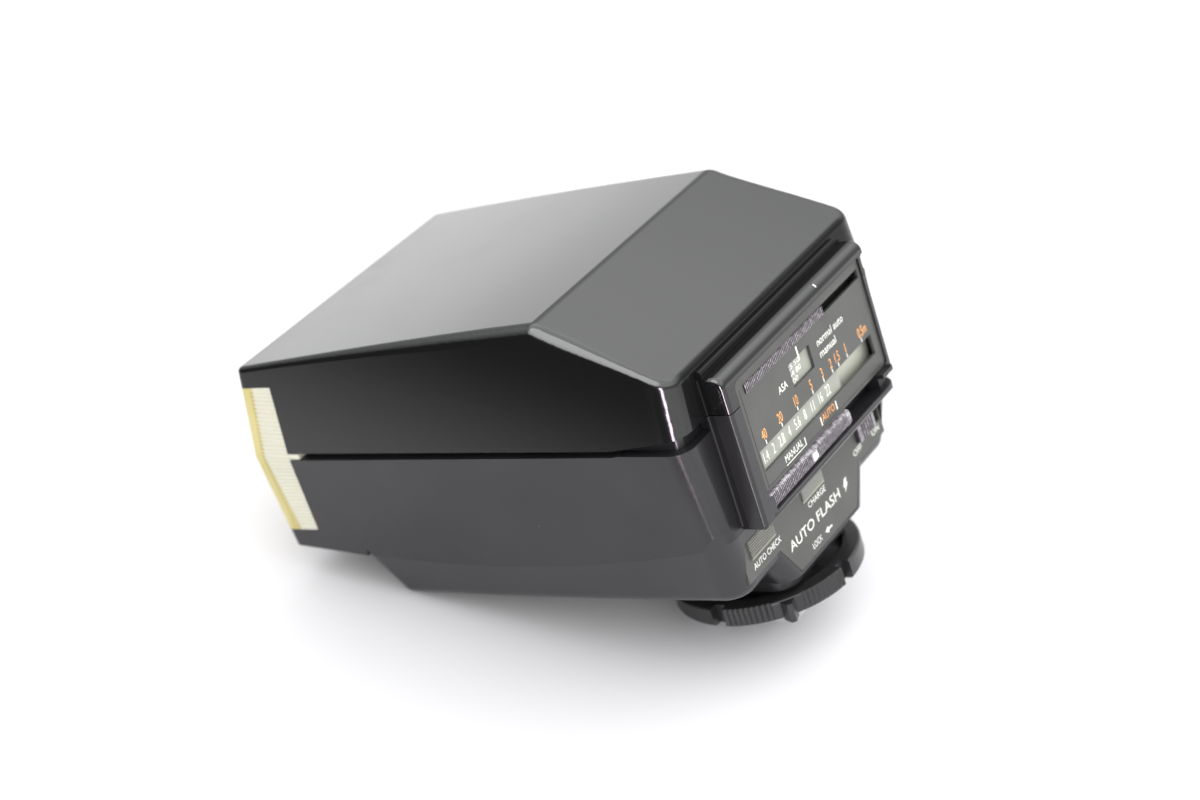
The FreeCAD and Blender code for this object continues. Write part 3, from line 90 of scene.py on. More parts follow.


# ---------------------------------------------------------------------------------------------
# node materials
# ---------------------------------------------------------------------------------------------

class Graph:
    """A material's node graph, with short calls for the nodes used here."""

    def __init__(self, name):
        self.material = bpy.data.materials.new(name)
        self.material.use_nodes = True
        self.tree = self.material.node_tree
        self.bsdf = self.tree.nodes["Principled BSDF"]
        self.place = self.add("ShaderNodeTexCoord").outputs["Object"]

    def add(self, kind, **inputs):
        node = self.tree.nodes.new(kind)
        for key, value in inputs.items():
            node.inputs[key.replace("_", " ")].default_value = value
        return node

    def link(self, source, target):
        self.tree.links.new(source, target)

    def stretched(self, scale):
        """The object's coordinates, scaled by three factors."""
        node = self.add("ShaderNodeMapping")
        node.inputs["Scale"].default_value = scale
        self.link(self.place, node.inputs["Vector"])
        return node.outputs["Vector"]

    def noise(self, scale, detail=3.0, roughness=0.5, place=None):
        node = self.add("ShaderNodeTexNoise", Scale=scale, Detail=detail, Roughness=roughness)
        self.link(place or self.place, node.inputs["Vector"])
        return node.outputs["Fac"]

    def cells(self, scale):
        node = self.add("ShaderNodeTexVoronoi", Scale=scale)
        self.link(self.place, node.inputs["Vector"])
        return node

    def ramp(self, value, stops):
        """Colour ramp; each stop is (position, grey or colour)."""
        node = self.add("ShaderNodeValToRGB")
        elements = node.color_ramp.elements
        while len(elements) < len(stops):
            elements.new(0.5)
        for element, (position, colour) in zip(elements, stops):
            element.position = position
            element.color = colour if isinstance(colour, tuple) else (colour, colour, colour, 1)
        self.link(value, node.inputs["Fac"])
        return node.outputs["Color"]

    def mix(self, factor, a, b):
        node = self.add("ShaderNodeMix")
        node.data_type = "RGBA"
        for socket, value in ((node.inputs[0], factor), (node.inputs[6], a), (node.inputs[7], b)):
            if isinstance(value, (tuple, float, int)):
                socket.default_value = value
            else:
                self.link(value, socket)
        return node.outputs[2]

    def math(self, operation, a, b=0.0):
        node = self.add("ShaderNodeMath")
        node.operation = operation
        for socket, value in zip(node.inputs, (a, b)):
            if isinstance(value, (float, int)):
                socket.default_value = value
            else:
                self.link(value, socket)
        return node.outputs[0]

    def fade(self, value, low, high, a=0.0, b=1.0):
        """a below low, b above high, and smooth between."""
        node = self.add("ShaderNodeMapRange")
        node.interpolation_type = "SMOOTHSTEP"
        self.link(value, node.inputs["Value"])
        for name, number in (("From Min", low), ("From Max", high), ("To Min", a), ("To Max", b)):
            node.inputs[name].default_value = number
        return node.outputs["Result"]

    def axis(self, name):
        node = self.add("ShaderNodeSeparateXYZ")
        self.link(self.place, node.inputs[0])
        return node.outputs[name]

    def set(self, **inputs):
        for key, value in inputs.items():
            socket = self.bsdf.inputs[key.replace("_", " ")]
            if isinstance(value, (tuple, float, int)):
                socket.default_value = value
            else:
                self.link(value, socket)

    def recess(self):
        """Painted shade mask: 1 in the step between the slope and the hood and in the hood's inner corners,
        0 elsewhere.
        """
        y = self.axis("Y")
        inward = self.math("LESS_THAN", y, STEP_Y)
        behind = self.math("MULTIPLY", self.fade(y, 15.7 * MM, 16.3 * MM), inward)
        beside = self.fade(self.math("ABSOLUTE", self.axis("X")), 28.0 * MM, 32.0 * MM, 1.0, 0.0)
        above = self.math("GREATER_THAN", self.axis("Z"), HOOD_BOTTOM_Z)
        return self.math("MULTIPLY", behind, self.math("MULTIPLY", beside, above))

    def bump(self, height, distance, strength=1.0, under=None):
        node = self.add("ShaderNodeBump", Distance=distance, Strength=strength)
        self.link(height, node.inputs["Height"])
        if under is not None:
            self.link(under, node.inputs["Normal"])
        self.link(node.outputs["Normal"], self.bsdf.inputs["Normal"])
        return node.outputs["Normal"]

    def dust(self, scale, share, size):
        """Sparse specks: 1 on a speck, 0 elsewhere."""
        cells = self.cells(scale)
        near = self.math("LESS_THAN", cells.outputs["Distance"], size)
        chosen = self.add("ShaderNodeSeparateColor")
        self.link(cells.outputs["Color"], chosen.inputs[0])
        return self.math("MULTIPLY", near, self.math("LESS_THAN", chosen.outputs[0], share))


def piano_black():
    g = Graph("gloss_cover")
    specks = g.dust(170.0, 0.22, 0.014)
    smear = g.ramp(g.noise(55.0, 4.0, 0.62), ((0.50, 0.0), (0.72, 1.0)))
    film = g.ramp(g.noise(14.0, 2.0, 0.5), ((0.35, 0.0), (0.7, 1.0)))
    rough = g.math("ADD", 0.075, g.math("MULTIPLY", smear, 0.05))
    rough = g.math("ADD", rough, g.math("MULTIPLY", film, 0.03))
    rough = g.math("ADD", rough, g.math("MULTIPLY", specks, 0.5))
    # the handled rear corners are a little duller
    side = g.fade(g.math("ABSOLUTE", g.axis("X")), 28.0 * MM, 31.0 * MM)
    corner = g.math("MULTIPLY", g.fade(g.axis("Y"), 11.0 * MM, 13.5 * MM), side)
    rough = g.math("ADD", rough, g.math("MULTIPLY", corner, 0.09))
    g.set(Base_Color=g.mix(specks, (0.006, 0.006, 0.0065, 1), (0.32, 0.31, 0.29, 1)))
    g.set(Roughness=rough, IOR=1.52)
    # painted shade: the reflections are dulled in the step between the slope and the hood
    g.set(Specular_IOR_Level=g.math("SUBTRACT", 0.5, g.math("MULTIPLY", g.recess(), 0.42)))
    wave = g.bump(g.noise(38.0, 1.0, 0.4), 0.00001, 0.2)
    g.bump(g.noise(420.0, 2.0, 0.5), 0.000004, 0.4, wave)
    return g.material


def satin_shell():
    g = Graph("matte_shell")
    specks = g.dust(190.0, 0.25, 0.013)
    grain = g.noise(5200.0, 2.0, 0.6)
    patch = g.ramp(g.noise(60.0, 3.0, 0.55),
                   ((0.3, (0.010, 0.0093, 0.011, 1)), (0.75, (0.016, 0.0148, 0.017, 1))))
    g.set(Base_Color=g.mix(specks, patch, (0.38, 0.36, 0.33, 1)))
    # painted shade: the reflections are dulled in the step and the hood's inner corners
    g.set(Specular_IOR_Level=g.math("SUBTRACT", 0.5, g.math("MULTIPLY", g.recess(), 0.25)))
    rough = g.math("ADD", 0.24, g.math("MULTIPLY", g.noise(35.0, 3.0, 0.5), 0.12))
    g.set(Roughness=rough)
    g.bump(grain, 0.00002, 0.35)
    return g.material


def diffuser_plastic():
    """Cream wings with an aged yellow strip along the front edge."""
    g = Graph("diffuser")
    low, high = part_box("flash_window")
    y = g.axis("Y")
    z = g.axis("Z")
    rise = g.math("MULTIPLY", g.math("SUBTRACT", z, low.z), 1.0 / (high.z - low.z))
    strip = g.math("ADD", 1.9 * MM, g.math("MULTIPLY", rise, 1.9 * MM))
    seam = g.math("ABSOLUTE", g.math("SUBTRACT", z, SEAM_Z))
    front = g.math("ADD", NOSE_Y, g.math("MULTIPLY", seam, 0.07))
    depth = g.math("SUBTRACT", y, g.math("ADD", front, strip))
    edge = g.math("MULTIPLY", g.math("ADD", depth, 0.2 * MM), 1.0 / (0.4 * MM))
    edge = g.math("MINIMUM", g.math("MAXIMUM", edge, 0.0), 1.0)
    cream = g.ramp(g.noise(90.0, 3.0, 0.5), ((0.3, (0.60, 0.585, 0.50, 1)), (0.7, (0.66, 0.645, 0.56, 1))))
    yellow = g.ramp(g.noise(120.0, 3.0, 0.5), ((0.3, (0.42, 0.36, 0.14, 1)), (0.7, (0.49, 0.43, 0.20, 1))))
    # painted shade: the crests between the grooves are painted darker, so the ribs show as stripes
    pitches = g.math("MULTIPLY", g.math("SUBTRACT", z, low.z), WINDOW_RIBS / (high.z - low.z))
    turns = g.math("FRACT", pitches)
    painted_rib_shade = g.fade(g.math("ABSOLUTE", g.math("SUBTRACT", turns, 0.5)), 0.12, 0.40, 1.0, 0.0)
    cream_with_rib_shade = g.mix(painted_rib_shade, cream, (0.47, 0.455, 0.375, 1))
    g.set(Base_Color=g.mix(edge, yellow, cream_with_rib_shade), Roughness=0.35)
    g.set(Subsurface_Weight=0.25, Subsurface_Scale=0.001, Subsurface_Radius=(1.0, 0.85, 0.55))
    g.bump(g.noise(700.0, 2.0, 0.5), 0.00002, 0.3)
    return g.material


def plain_plastic(name, dark, light, rough, grain=3000.0, depth=0.00002, tone=140.0):
    g = Graph(name)
    g.set(Base_Color=g.ramp(g.noise(tone, 3.0, 0.55), ((0.3, dark + (1,)), (0.7, light + (1,)))))
    g.set(Roughness=g.math("ADD", rough, g.math("MULTIPLY", g.noise(tone * 0.6, 2.0, 0.5), 0.12)))
    g.bump(g.noise(grain, 2.0, 0.6), depth, 0.4)
    return g.material


def scale_print():
    """Grey exposure plate, and the fixed plate behind it painted paler as painted light against its deeper
    shade; both painted black behind the knob's slot as painted shade.
    """
    g = Graph("scale_plate")
    grey = g.ramp(g.noise(140.0, 3.0, 0.55), ((0.3, (0.20, 0.205, 0.18, 1)), (0.7, (0.25, 0.255, 0.22, 1))))
    # painted light: the deeper fixed plate is painted paler against the shade it lies in
    painted_light_back = g.math("LESS_THAN", g.axis("Y"), BACK_PLATE_Y)
    # painted shade: both plates are painted black where they show through the knob's slot
    painted_slot_shade = g.math("GREATER_THAN", g.axis("Z"), SPEED_SLOT_Z)
    plate = g.mix(painted_light_back, grey, (0.38, 0.385, 0.33, 1))
    g.set(Base_Color=g.mix(painted_slot_shade, plate, (0.012, 0.012, 0.012, 1)), Roughness=0.42)
    g.bump(g.noise(3000.0, 2.0, 0.6), 0.00002, 0.4)
    return g.material


def knurled_plastic():
    """Slider knobs: pale on the crests of the knurling, from wear and painted highlight, and dark down its
    flanks as painted shade.
    """
    g = Graph("slider_grip")
    turn = g.add("ShaderNodeSeparateXYZ")
    g.link(g.add("ShaderNodeNewGeometry").outputs["True Normal"], turn.inputs[0])
    # painted shade down the flanks of the knurling, painted highlight together with the wear on its crests
    shaded_flank = g.fade(g.math("ABSOLUTE", turn.outputs["X"]), 0.15, 0.4)
    worn_and_highlit = g.ramp(g.noise(1500.0, 3.0, 0.7),
                  ((0.44, (0.10, 0.088, 0.105, 1)), (0.62, (0.37, 0.34, 0.37, 1))))
    low = g.ramp(g.noise(300.0, 3.0, 0.6),
                 ((0.3, (0.026, 0.021, 0.028, 1)), (0.7, (0.048, 0.041, 0.050, 1))))
    g.set(Base_Color=g.mix(shaded_flank, worn_and_highlit, low), Roughness=0.38)
    g.bump(g.noise(3000.0, 2.0, 0.6), 0.00002, 0.4)
    return g.material


def lamp_plastic(name, dark, light, edge=None):
    g = Graph(name)
    colour = g.ramp(g.noise(260.0, 2.0, 0.5), ((0.3, dark + (1,)), (0.7, light + (1,))))
    if edge is not None:
        # the lamps' lower edge catches the light
        colour = g.mix(g.fade(g.axis("Z"), *LAMP_EDGE_Z, 1.0, 0.0), colour, edge)
    g.set(Base_Color=colour, Subsurface_Radius=(1.0, 0.95, 0.8))
    g.set(Roughness=0.3, Subsurface_Weight=0.3, Subsurface_Scale=0.001, Coat_Weight=0.3)
    g.bump(g.noise(900.0, 2.0, 0.5), 0.00002, 0.3)
    return g.material


def metal(name, dark, light, rough, brushed=(900.0, 40.0, 900.0)):
    g = Graph(name)
    streaks = g.noise(1.0, 3.0, 0.6, g.stretched(brushed))
    g.set(Base_Color=g.ramp(streaks, ((0.3, dark + (1,)), (0.7, light + (1,)))), Metallic=1.0)
    g.set(Roughness=g.math("ADD", rough, g.math("MULTIPLY", streaks, 0.15)))
    g.bump(streaks, 0.000008, 0.4)
    return g.material


def clear_glass(name, tint):
    g = Graph(name)
    g.set(Base_Color=tint + (1,), Transmission_Weight=0.95, IOR=1.5)
    g.set(Roughness=g.math("MULTIPLY", g.noise(200.0, 2.0, 0.5), 0.08))
    return g.material


def board_laminate():
    g = Graph("circuit_board")
    tracks = g.cells(420.0).outputs["Distance"]
    g.set(Base_Color=g.ramp(tracks, ((0.18, (0.30, 0.20, 0.09, 1)), (0.22, (0.22, 0.14, 0.06, 1)))))
    g.set(Roughness=0.55)
    g.bump(tracks, 0.00003, 0.3)
    return g.material


def wound_copper():
    g = Graph("coil_copper")
    turns = g.add("ShaderNodeTexWave", Scale=900.0, Distortion=0.6)
    turns.bands_direction = "X"
    g.link(g.place, turns.inputs["Vector"])
    copper = ((0.2, (0.20, 0.08, 0.03, 1)), (0.8, (0.62, 0.30, 0.12, 1)))
    g.set(Base_Color=g.ramp(turns.outputs["Fac"], copper))
    g.set(Metallic=0.8, Roughness=0.35)
    g.bump(turns.outputs["Fac"], 0.00008, 0.6)
    return g.material


MATERIALS = {
    "gloss_cover": piano_black(),
    "matte_shell": satin_shell(),
    "diffuser": diffuser_plastic(),
    "panel_grey": plain_plastic("panel_grey", (0.042, 0.043, 0.039), (0.054, 0.055, 0.051), 0.38),
    "scale_plate": scale_print(),
    "slider_grip": knurled_plastic(),
    "lamp_lens": lamp_plastic("lamp_lens", (0.10, 0.10, 0.088), (0.14, 0.14, 0.122), (0.36, 0.34, 0.24, 1)),
    "white_ink": plain_plastic("white_ink", (0.60, 0.60, 0.56), (0.68, 0.68, 0.64), 0.5),
    "orange_ink": plain_plastic("orange_ink", (0.62, 0.26, 0.07), (0.72, 0.34, 0.11), 0.5),
    "ring_plastic": plain_plastic("ring_plastic", (0.010, 0.010, 0.011), (0.018, 0.018, 0.019), 0.26),
    "foot_metal": metal("foot_metal", (0.42, 0.42, 0.43), (0.60, 0.60, 0.61), 0.25),
    "contact_brass": metal("contact_brass", (0.55, 0.42, 0.18), (0.75, 0.60, 0.32), 0.2),
    "insulator": plain_plastic("insulator", (0.012, 0.012, 0.012), (0.022, 0.022, 0.022), 0.4),
    "reflector_foil": metal("reflector_foil", (0.82, 0.82, 0.83), (0.92, 0.92, 0.93), 0.08),
    "tube_glass": clear_glass("tube_glass", (0.95, 0.97, 1.0)),
    "clear_red": lamp_plastic("clear_red", (0.03, 0.004, 0.004), (0.06, 0.008, 0.008)),
    "inner_plastic": plain_plastic("inner_plastic", (0.12, 0.12, 0.13), (0.17, 0.17, 0.18), 0.5),
    "circuit_board": board_laminate(),
    "component": plain_plastic("component", (0.03, 0.03, 0.035), (0.07, 0.07, 0.075), 0.4),
    "capacitor_sleeve": plain_plastic("capacitor_sleeve", (0.02, 0.03, 0.07), (0.04, 0.05, 0.11), 0.25),
    "coil_copper": wound_copper(),
    "cell_jacket": metal("cell_jacket", (0.10, 0.12, 0.15), (0.22, 0.25, 0.28), 0.3),
    "spring_steel": metal("spring_steel", (0.45, 0.45, 0.46), (0.62, 0.62, 0.63), 0.25),
    "silicone": plain_plastic("silicone", (0.62, 0.60, 0.54), (0.75, 0.73, 0.68), 0.6),
    "wire_insulation": plain_plastic("wire_insulation", (0.32, 0.03, 0.02), (0.45, 0.06, 0.05), 0.45),
}


def paint(obj, slot):
    obj.data.materials.clear()
    obj.data.materials.append(MATERIALS[slot])


def smooth(obj, angle=32.0):
    """Round faces shade smooth, and edges sharper than the angle stay crisp."""
    for polygon in obj.data.polygons:
        polygon.use_smooth = True
    obj.data.set_sharp_from_angle(angle=math.radians(angle))


def finish_cad_nodes():
    for row in frame["record"]["subparts"]:
        obj = NODES[row["node"]]
        paint(obj, row["material_slot"])
        smooth(obj)


def squeeze_springs():
    """Each spring that shortens towards its fixed end as its contact is pressed gets a mesh of its own."""
    for joint in frame["record"]["behaviour"]["joints"]:
        for row in joint.get("deforming_nodes", []):
            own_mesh(NODES[row["node"]])


# ---------------------------------------------------------------------------------------------
# lettering: generic figures and function words as thin raised print
# ---------------------------------------------------------------------------------------------

INK = 0.025 * MM
REAR_FACING = Matrix(((-1, 0, 0), (0, 0, 1), (0, 1, 0)))   # text x to -X, text y to +Z, its normal to +Y


def lettering(text, height, x, z, y, narrow):
    """Mesh of one line of print on a face that looks towards +Y; x, z is the middle of its foot."""
    curve = bpy.data.curves.new("print", "FONT")
    curve.body = text
    curve.size = height / 0.70
    curve.align_x = "CENTER"
    curve.extrude = INK / 2
    curve.resolution_u = 3
    obj = bpy.data.objects.new("print", curve)
    bpy.context.scene.collection.objects.link(obj)
    bpy.context.view_layer.update()
    mesh = bpy.data.meshes.new_from_object(obj)
    bpy.data.objects.remove(obj)
    for vertex in mesh.vertices:
        flat = Vector((vertex.co.x * narrow, vertex.co.y, vertex.co.z))
        vertex.co = REAR_FACING @ flat + Vector((x, y + INK / 2, z))
    return mesh


def bar(x, y, z):
    """Thin block mesh from three (low, high) pairs."""
    mesh = bpy.data.meshes.new("bar")
    bm = bmesh.new()
    size = Vector((x[1] - x[0], y[1] - y[0], z[1] - z[0]))
    middle = Vector((x[0] + x[1], y[0] + y[1], z[0] + z[1])) / 2
    bmesh.ops.create_cube(bm, size=1.0, matrix=Matrix.Translation(middle) @ Matrix.Diagonal((*size, 1)))
    bm.to_mesh(mesh)
    bm.free()
    return mesh


def prism(outline, y, thick):
    """Thin plate on a +Y face from an (x, z) outline."""
    mesh = bpy.data.meshes.new("prism")
    bm = bmesh.new()
    face = bm.faces.new([bm.verts.new((x, y, z)) for x, z in outline])
    grown = bmesh.ops.extrude_face_region(bm, geom=[face])
    for item in grown["geom"]:
        if isinstance(item, bmesh.types.BMVert):
            item.co.y += thick
    bmesh.ops.recalc_face_normals(bm, faces=bm.faces)
    bm.to_mesh(mesh)
    bm.free()
    return mesh


def piece(name, meshes, slot, body):
    """One object from several meshes, with its material, riding on a body."""
    bm = bmesh.new()
    for mesh in meshes:
        bm.from_mesh(mesh)
        bpy.data.meshes.remove(mesh)
    data = bpy.data.meshes.new(name)
    bm.to_mesh(data)
    bm.free()
    obj = bpy.data.objects.new(name, data)
    bpy.context.scene.collection.objects.link(obj)
    data.materials.append(MATERIALS[slot])
    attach(obj, body)
    return obj


STOP = 2.85 * MM                # one exposure stop on the scales
SPEED_COLUMNS = (("25 50", "64 80", "100"), ("125 160", "200 250", "320"), ("400 500", "640 800", "1000"),
                 ("1250 1600", "2000", "2500"))


def fitted(text, height, left, right, foot, y):
    """A line of print stretched to run from one x to another, all but y in millimetres."""
    mesh = lettering(text, height * MM, 0.0, foot * MM, y, 1.0)
    ends = [vertex.co.x for vertex in mesh.vertices]
    low, high = min(ends), max(ends)
    scale = (left - right) * MM / (high - low)
    for vertex in mesh.vertices:
        vertex.co.x = (vertex.co.x - low) * scale + right * MM
    return mesh


def line(x, z, y):
    """A printed bar on a rear-facing surface from (low, high) pairs in millimetres."""
    return bar((x[0] * MM, x[1] * MM), (y, y + INK), (z[0] * MM, z[1] * MM))


def print_calculator():
    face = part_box("calculator_panel")[1].y
    figures = []
    ticks = []
    for metres in (40, 20, 10, 5, 3, 2, 1.5, 1, 0.5):
        x = 16.4 * MM - 2 * STOP * math.log2(40 / metres)
        nearest = metres == 0.5
        label = f"{metres}m" if nearest else str(metres)
        shift = 0.9 * MM if nearest else 0.0
        figures.append(lettering(label, 1.85 * MM, x - shift, 41.25 * MM, face, 0.62))
        ticks.append(bar((x - 0.12 * MM, x + 0.12 * MM), (face, face + INK), (40.35 * MM, 41.1 * MM)))
    piece("distance_figures", figures, "orange_ink", "body")
    piece("distance_ticks", ticks, "white_ink", "body")
    words = [fitted("ASA", 1.35, 8.9, 5.85, 45.4, face),
             fitted("normal auto", 1.45, -6.0, -15.7, 46.6, face),
             fitted("manual", 1.45, -6.0, -11.9, 44.4, face),
             fitted("MANUAL", 1.3, 12.75, 6.55, 34.5, face)]
    words += [line((0.2, 0.6), (47.5, 50.1), face), line((5.7, 12.8), (33.95, 34.1), face),
              line((5.5, 5.75), (33.95, 35.4), face)]
    words += [line((x - 0.16, x + 0.16), (34.2, 35.8), face) for x in (-0.6, -6.35)]
    piece("panel_words", words, "white_ink", "body")
    piece("auto_word", [fitted("AUTO", 1.3, -1.1, -5.7, 34.6, face)], "orange_ink", "body")
    outline = [line((19.35, 19.53), (33.7, 52.2), face), line((-24.3, 19.35), (33.7, 33.86), face)]
    piece("panel_outline", outline, "insulator", "body")


def print_exposure_plate():
    """The f-numbers and the film speeds, on the plate that runs behind the panel's windows."""
    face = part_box("calculator_panel")[0].y - 0.12 * MM
    figures = []
    for k, label in enumerate(("1.4", "2", "2.8", "4", "5.6", "8", "11", "16", "22")):
        x = 16.9 * MM - k * STOP * 1.01
        figures.append(lettering(label, 1.95 * MM, x, 37.2 * MM, face, 0.60))
    piece("aperture_figures", figures, "white_ink", "film_speed_slider")
    speeds = []
    for k, column in enumerate(SPEED_COLUMNS):
        for row, text in enumerate(column):
            left = 3.7 + 4.667 * k
            width = min(0.82 * len(text), 4.3)
            speeds.append(fitted(text, 0.95, left, left - width, 46.9 - 1.3 * row, face))
    piece("film_speed_figures", speeds, "white_ink", "film_speed_slider")


def print_label():
    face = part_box("label_panel")[1].y
    words = [fitted(*word, face) for word in (
        ("CHARGE", 1.15, 3.5, -2.85, 20.0), ("AUTO CHECK", 1.15, 23.6, 13.95, 19.95),
        ("OFF", 1.15, -14.3, -17.5, 20.0), ("ON", 1.15, -21.7, -24.5, 20.0),
        ("AUTO FLASH", 1.9, 12.2, -6.6, 16.4), ("LOCK", 1.15, 5.7, 2.3, 13.05))]
    bolt = ((-9.2, 18.5), (-8.3, 17.2), (-9.0, 17.2), (-8.5, 16.1),
            (-10.1, 17.6), (-9.4, 17.6), (-10.0, 18.5))
    arrow = ((0.9, 13.6), (-0.3, 14.2), (-0.3, 13.75), (-1.6, 13.75),
             (-1.6, 13.45), (-0.3, 13.45), (-0.3, 13.0))
    words += [prism([(x * MM, z * MM) for x, z in outline], face, INK) for outline in (bolt, arrow)]
    piece("label_words", words, "white_ink", "body")


def print_mode_triangle():
    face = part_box("mode_slider")[1].y
    triangle = ((5.0, 30.9), (4.2, 30.9), (4.5, 32.6))
    outline = [(x * MM, z * MM) for x, z in triangle]
    piece("mode_triangle", [prism(outline, face, INK)], "white_ink", "mode_control")


def print_hood_mark():
    """A short index bar that bends over the hood's rounded top."""
    middle_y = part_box("lower_body")[1].y - HOOD_CROWN
    middle_z = HOOD_TOP_Z - HOOD_CROWN
    mesh = bpy.data.meshes.new("hood_mark")
    bm = bmesh.new()
    rings = []
    for step in range(5):
        turn = math.radians(33 + 5 * step)
        corners = []
        for reach in (HOOD_CROWN - INK, HOOD_CROWN + INK):
            y = middle_y + reach * math.sin(turn)
            z = middle_z + reach * math.cos(turn)
            for x in (-9.15 * MM, -8.85 * MM):
                corners.append(bm.verts.new((x, y, z)))
        rings.append((corners[0], corners[1], corners[3], corners[2]))
    for a, b in zip(rings, rings[1:]):
        for k in range(4):
            bm.faces.new((a[k], a[(k + 1) % 4], b[(k + 1) % 4], b[k]))
    bm.faces.new(rings[0])
    bm.faces.new(rings[-1])
    bmesh.ops.recalc_face_normals(bm, faces=bm.faces)
    bm.to_mesh(mesh)
    bm.free()
    piece("hood_mark", [mesh], "white_ink", "body")


# ---------------------------------------------------------------------------------------------
# stage, light and camera
# ---------------------------------------------------------------------------------------------

FLOOR_TONE = 0.55
DOME = 2.0                      # the mean strength of the light that reaches the matt surfaces
DOME_TILT = 0.70                # how much stronger it is from the rear, and weaker from the front
DOME_WAY = (-0.35, 0.85, 0.40)
TENT_SCALE = 3.6
# brightness of the tent against the sine of a direction's height over the table, as a share of TENT_SCALE
TENT = ((-0.2, 0.60), (0.0, 0.58), (0.06, 0.45), (0.13, 0.30), (0.22, 0.25), (0.40, 0.25), (0.52, 0.45),
        (0.62, 0.74), (0.70, 1.0), (1.0, 1.0))
PANEL = 5.0                     # the tent's bright panel over the near side
PANEL_WAY = (0.492, -0.087, 0.866)
DARK_WAY = (0.86, -0.51, 0.0)   # towards the tent's open side


def resting_plane():
    """The table under the tipped body: through the foot's front edge and the lowest line of the chamber."""
    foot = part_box("shoe_plate")[0]
    edge = Vector((0, foot.y, foot.z))
    slope = min(v.co.z / (edge.y - v.co.y) for node in ("lower_body", "battery_door")
                for v in NODES[node].data.vertices if v.co.y < edge.y - 0.02)
    normal = Vector((0, slope, 1)).normalized()
    return edge, normal


def build_floor():
    edge, normal = resting_plane()
    mesh = bpy.data.meshes.new("floor")
    bm = bmesh.new()
    bmesh.ops.create_circle(bm, cap_ends=True, segments=96, radius=1.6)
    bm.to_mesh(mesh)
    bm.free()
    floor = bpy.data.objects.new("floor", mesh)
    turn = normal.to_track_quat("Z", "Y").to_matrix().to_4x4()
    floor.matrix_world = Matrix.Translation(edge - normal * 0.0002) @ turn
    bpy.context.scene.collection.objects.link(floor)
    g = Graph("floor")
    g.set(Base_Color=(FLOOR_TONE * 0.985, FLOOR_TONE * 0.965, FLOOR_TONE, 1))
    g.set(Roughness=0.7, Specular_IOR_Level=0.2)
    # the table ends at its near side and far off, but only for what the casing mirrors
    path = g.add("ShaderNodeLightPath")
    x = g.add("ShaderNodeSeparateXYZ")
    g.link(g.add("ShaderNodeNewGeometry").outputs["Position"], x.inputs[0])
    near = g.fade(x.outputs["X"], 0.07, 0.165)
    far = g.fade(x.outputs["X"], -0.60, -0.25, 1.0, 0.0)
    ends = g.math("ADD", near, far)
    dim = g.math("MULTIPLY", ends, path.outputs["Is Glossy Ray"])
    clear = g.add("ShaderNodeBsdfTransparent")
    shade = g.add("ShaderNodeMixShader")
    g.link(dim, shade.inputs[0])
    g.link(g.bsdf.outputs[0], shade.inputs[1])
    g.link(clear.outputs[0], shade.inputs[2])
    mix = g.add("ShaderNodeMixShader")
    g.link(g.add("ShaderNodeNewGeometry").outputs["Backfacing"], mix.inputs[0])
    g.link(shade.outputs[0], mix.inputs[1])
    g.link(clear.outputs[0], mix.inputs[2])
    g.link(mix.outputs[0], g.tree.nodes["Material Output"].inputs["Surface"])
    mesh.materials.append(g.material)


def soft_box(name, azimuth, elevation, distance, size, radiance, colour):
    """Rectangular light that faces the object, placed by its direction in degrees."""
    a, e = math.radians(azimuth), math.radians(elevation)
    way = Vector((math.cos(e) * math.cos(a), math.cos(e) * math.sin(a), math.sin(e)))
    light = bpy.data.lights.new(name, "AREA")
    light.shape = "RECTANGLE"
    light.size, light.size_y = size
    light.energy = radiance * math.pi * size[0] * size[1]
    light.color = colour
    obj = bpy.data.objects.new(name, light)
    middle = (Vector(CAD_BOX[0]) + Vector(CAD_BOX[1])) / 2
    turn = way.to_track_quat("Z", "Y").to_matrix().to_4x4()
    obj.matrix_world = Matrix.Translation(middle + way * distance) @ turn
    bpy.context.scene.collection.objects.link(obj)
    return obj


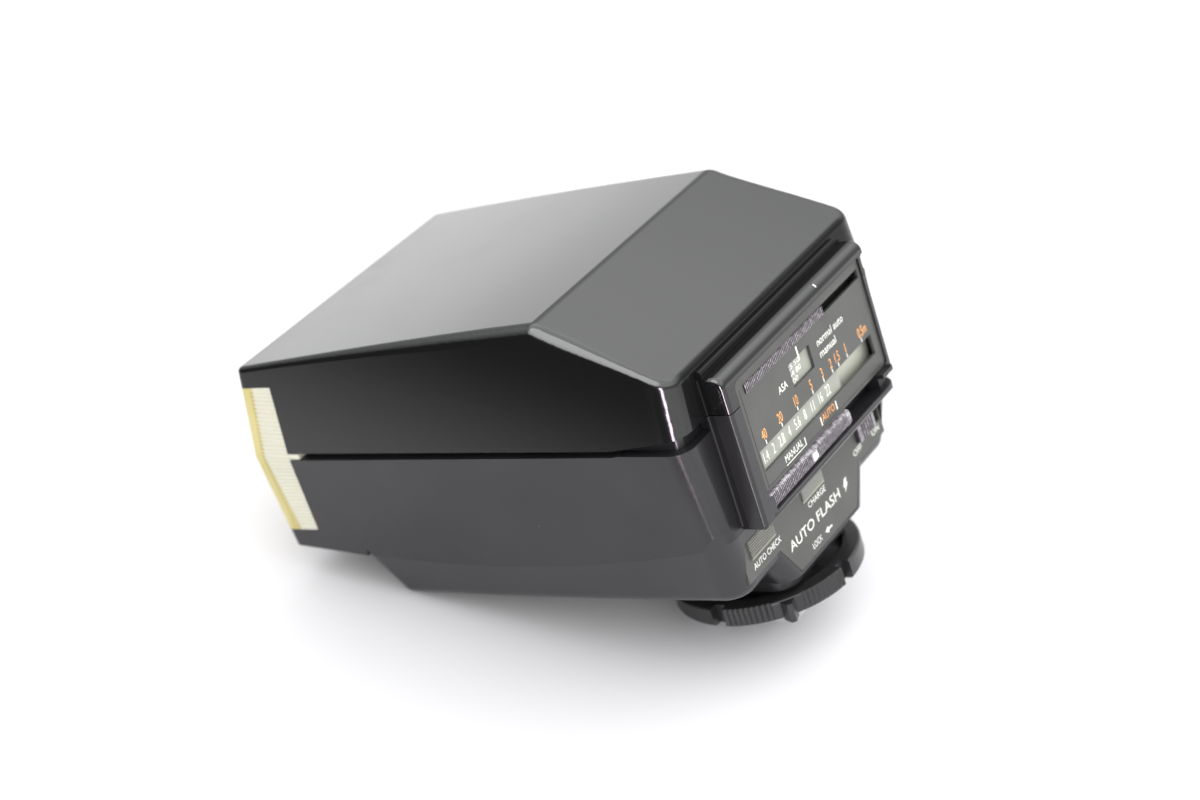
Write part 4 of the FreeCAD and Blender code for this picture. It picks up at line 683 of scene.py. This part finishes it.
def build_light():
    """A white tent that is open, and so dark, low down on the near side.

    The glossy surfaces mirror the tent. The matt ones are lit by a dome that is strongest at the rear.
    """
    world = bpy.data.worlds.new("studio")
    bpy.context.scene.world = world
    world.use_nodes = True
    tree = world.node_tree
    background = tree.nodes["Background"]
    way = tree.nodes.new("ShaderNodeTexCoord").outputs["Generated"]

    def along(direction):
        dot = tree.nodes.new("ShaderNodeVectorMath")
        dot.operation = "DOT_PRODUCT"
        tree.links.new(way, dot.inputs[0])
        dot.inputs[1].default_value = direction
        return dot.outputs["Value"]

    def ramp(value, stops, low=-1.0, high=1.0):
        spread = tree.nodes.new("ShaderNodeMapRange")
        tree.links.new(value, spread.inputs["Value"])
        spread.inputs["From Min"].default_value = low
        spread.inputs["From Max"].default_value = high
        node = tree.nodes.new("ShaderNodeValToRGB")
        node.color_ramp.interpolation = "EASE"
        elements = node.color_ramp.elements
        while len(elements) < len(stops):
            elements.new(0.5)
        for element, (position, grey) in zip(elements, stops):
            element.position = (position - low) / (high - low)
            element.color = (grey, grey, grey, 1)
        tree.links.new(spread.outputs["Result"], node.inputs["Fac"])
        return node.outputs["Color"]

    def combine(operation, a, b):
        node = tree.nodes.new("ShaderNodeMath")
        node.operation = operation
        for socket, value in zip(node.inputs, (a, b)):
            if isinstance(value, float):
                socket.default_value = value
            else:
                tree.links.new(value, socket)
        return node.outputs[0]

    height = along(resting_plane()[1])
    tent = combine("MULTIPLY", ramp(height, TENT, -0.2, 1.0), TENT_SCALE)
    shade = combine("MULTIPLY", ramp(along(DARK_WAY), ((0.25, 0.0), (0.6, 1.0))),
                    ramp(height, ((0.22, 1.0), (0.42, 0.0)), -0.2, 1.0))
    tent = combine("MULTIPLY", tent, combine("SUBTRACT", 1.0, combine("MULTIPLY", shade, 0.985)))
    panel = ramp(along(PANEL_WAY), ((0.85, 0.0), (0.915, 1.0)))
    tent = combine("ADD", tent, combine("MULTIPLY", panel, PANEL))
    tilt = combine("MULTIPLY", along(DOME_WAY), DOME_TILT)
    dome = combine("MULTIPLY", combine("ADD", tilt, 1.0), DOME)
    glossy = tree.nodes.new("ShaderNodeLightPath").outputs["Is Glossy Ray"]
    mirrored = combine("MULTIPLY", tent, glossy)
    diffuse = combine("MULTIPLY", dome, combine("SUBTRACT", 1.0, glossy))
    tree.links.new(combine("ADD", mirrored, diffuse), background.inputs["Strength"])
    background.inputs["Color"].default_value = (0.985, 1.0, 0.985, 1)

    strip = soft_box("strip", azimuth=24.0, elevation=-12.0, distance=0.8, size=(0.14, 0.60),
                     radiance=42.0, colour=(1.0, 0.85, 1.0))
    strip.visible_diffuse = False


def build_camera():
    low, high = CAD_BOX
    target = (Vector(low) + Vector(high)) / 2 + VIEW_OFFSET
    level = math.cos(VIEW_ELEVATION)
    out = Vector((level * math.cos(VIEW_AZIMUTH), level * math.sin(VIEW_AZIMUTH), math.sin(VIEW_ELEVATION)))
    camera = bpy.data.objects.new("camera", bpy.data.cameras.new("camera"))
    camera.data.lens = LENS
    camera.data.sensor_width = SENSOR
    camera.data.clip_start = 0.01
    turn = out.to_track_quat("Z", "Y").to_matrix().to_4x4() @ Matrix.Rotation(VIEW_ROLL, 4, "Z")
    camera.matrix_world = Matrix.Translation(target + out * VIEW_DISTANCE) @ turn
    bpy.context.scene.collection.objects.link(camera)
    bpy.context.scene.camera = camera
    camera.data.dof.use_dof = True
    camera.data.dof.focus_distance = VIEW_DISTANCE - FOCUS_LEAD
    camera.data.dof.aperture_fstop = APERTURE
    bpy.context.scene.view_settings.view_transform = "Standard"


finish_cad_nodes()
squeeze_springs()
print_calculator()
print_exposure_plate()
print_label()
print_mode_triangle()
print_hood_mark()
build_floor()
build_light()
build_camera()
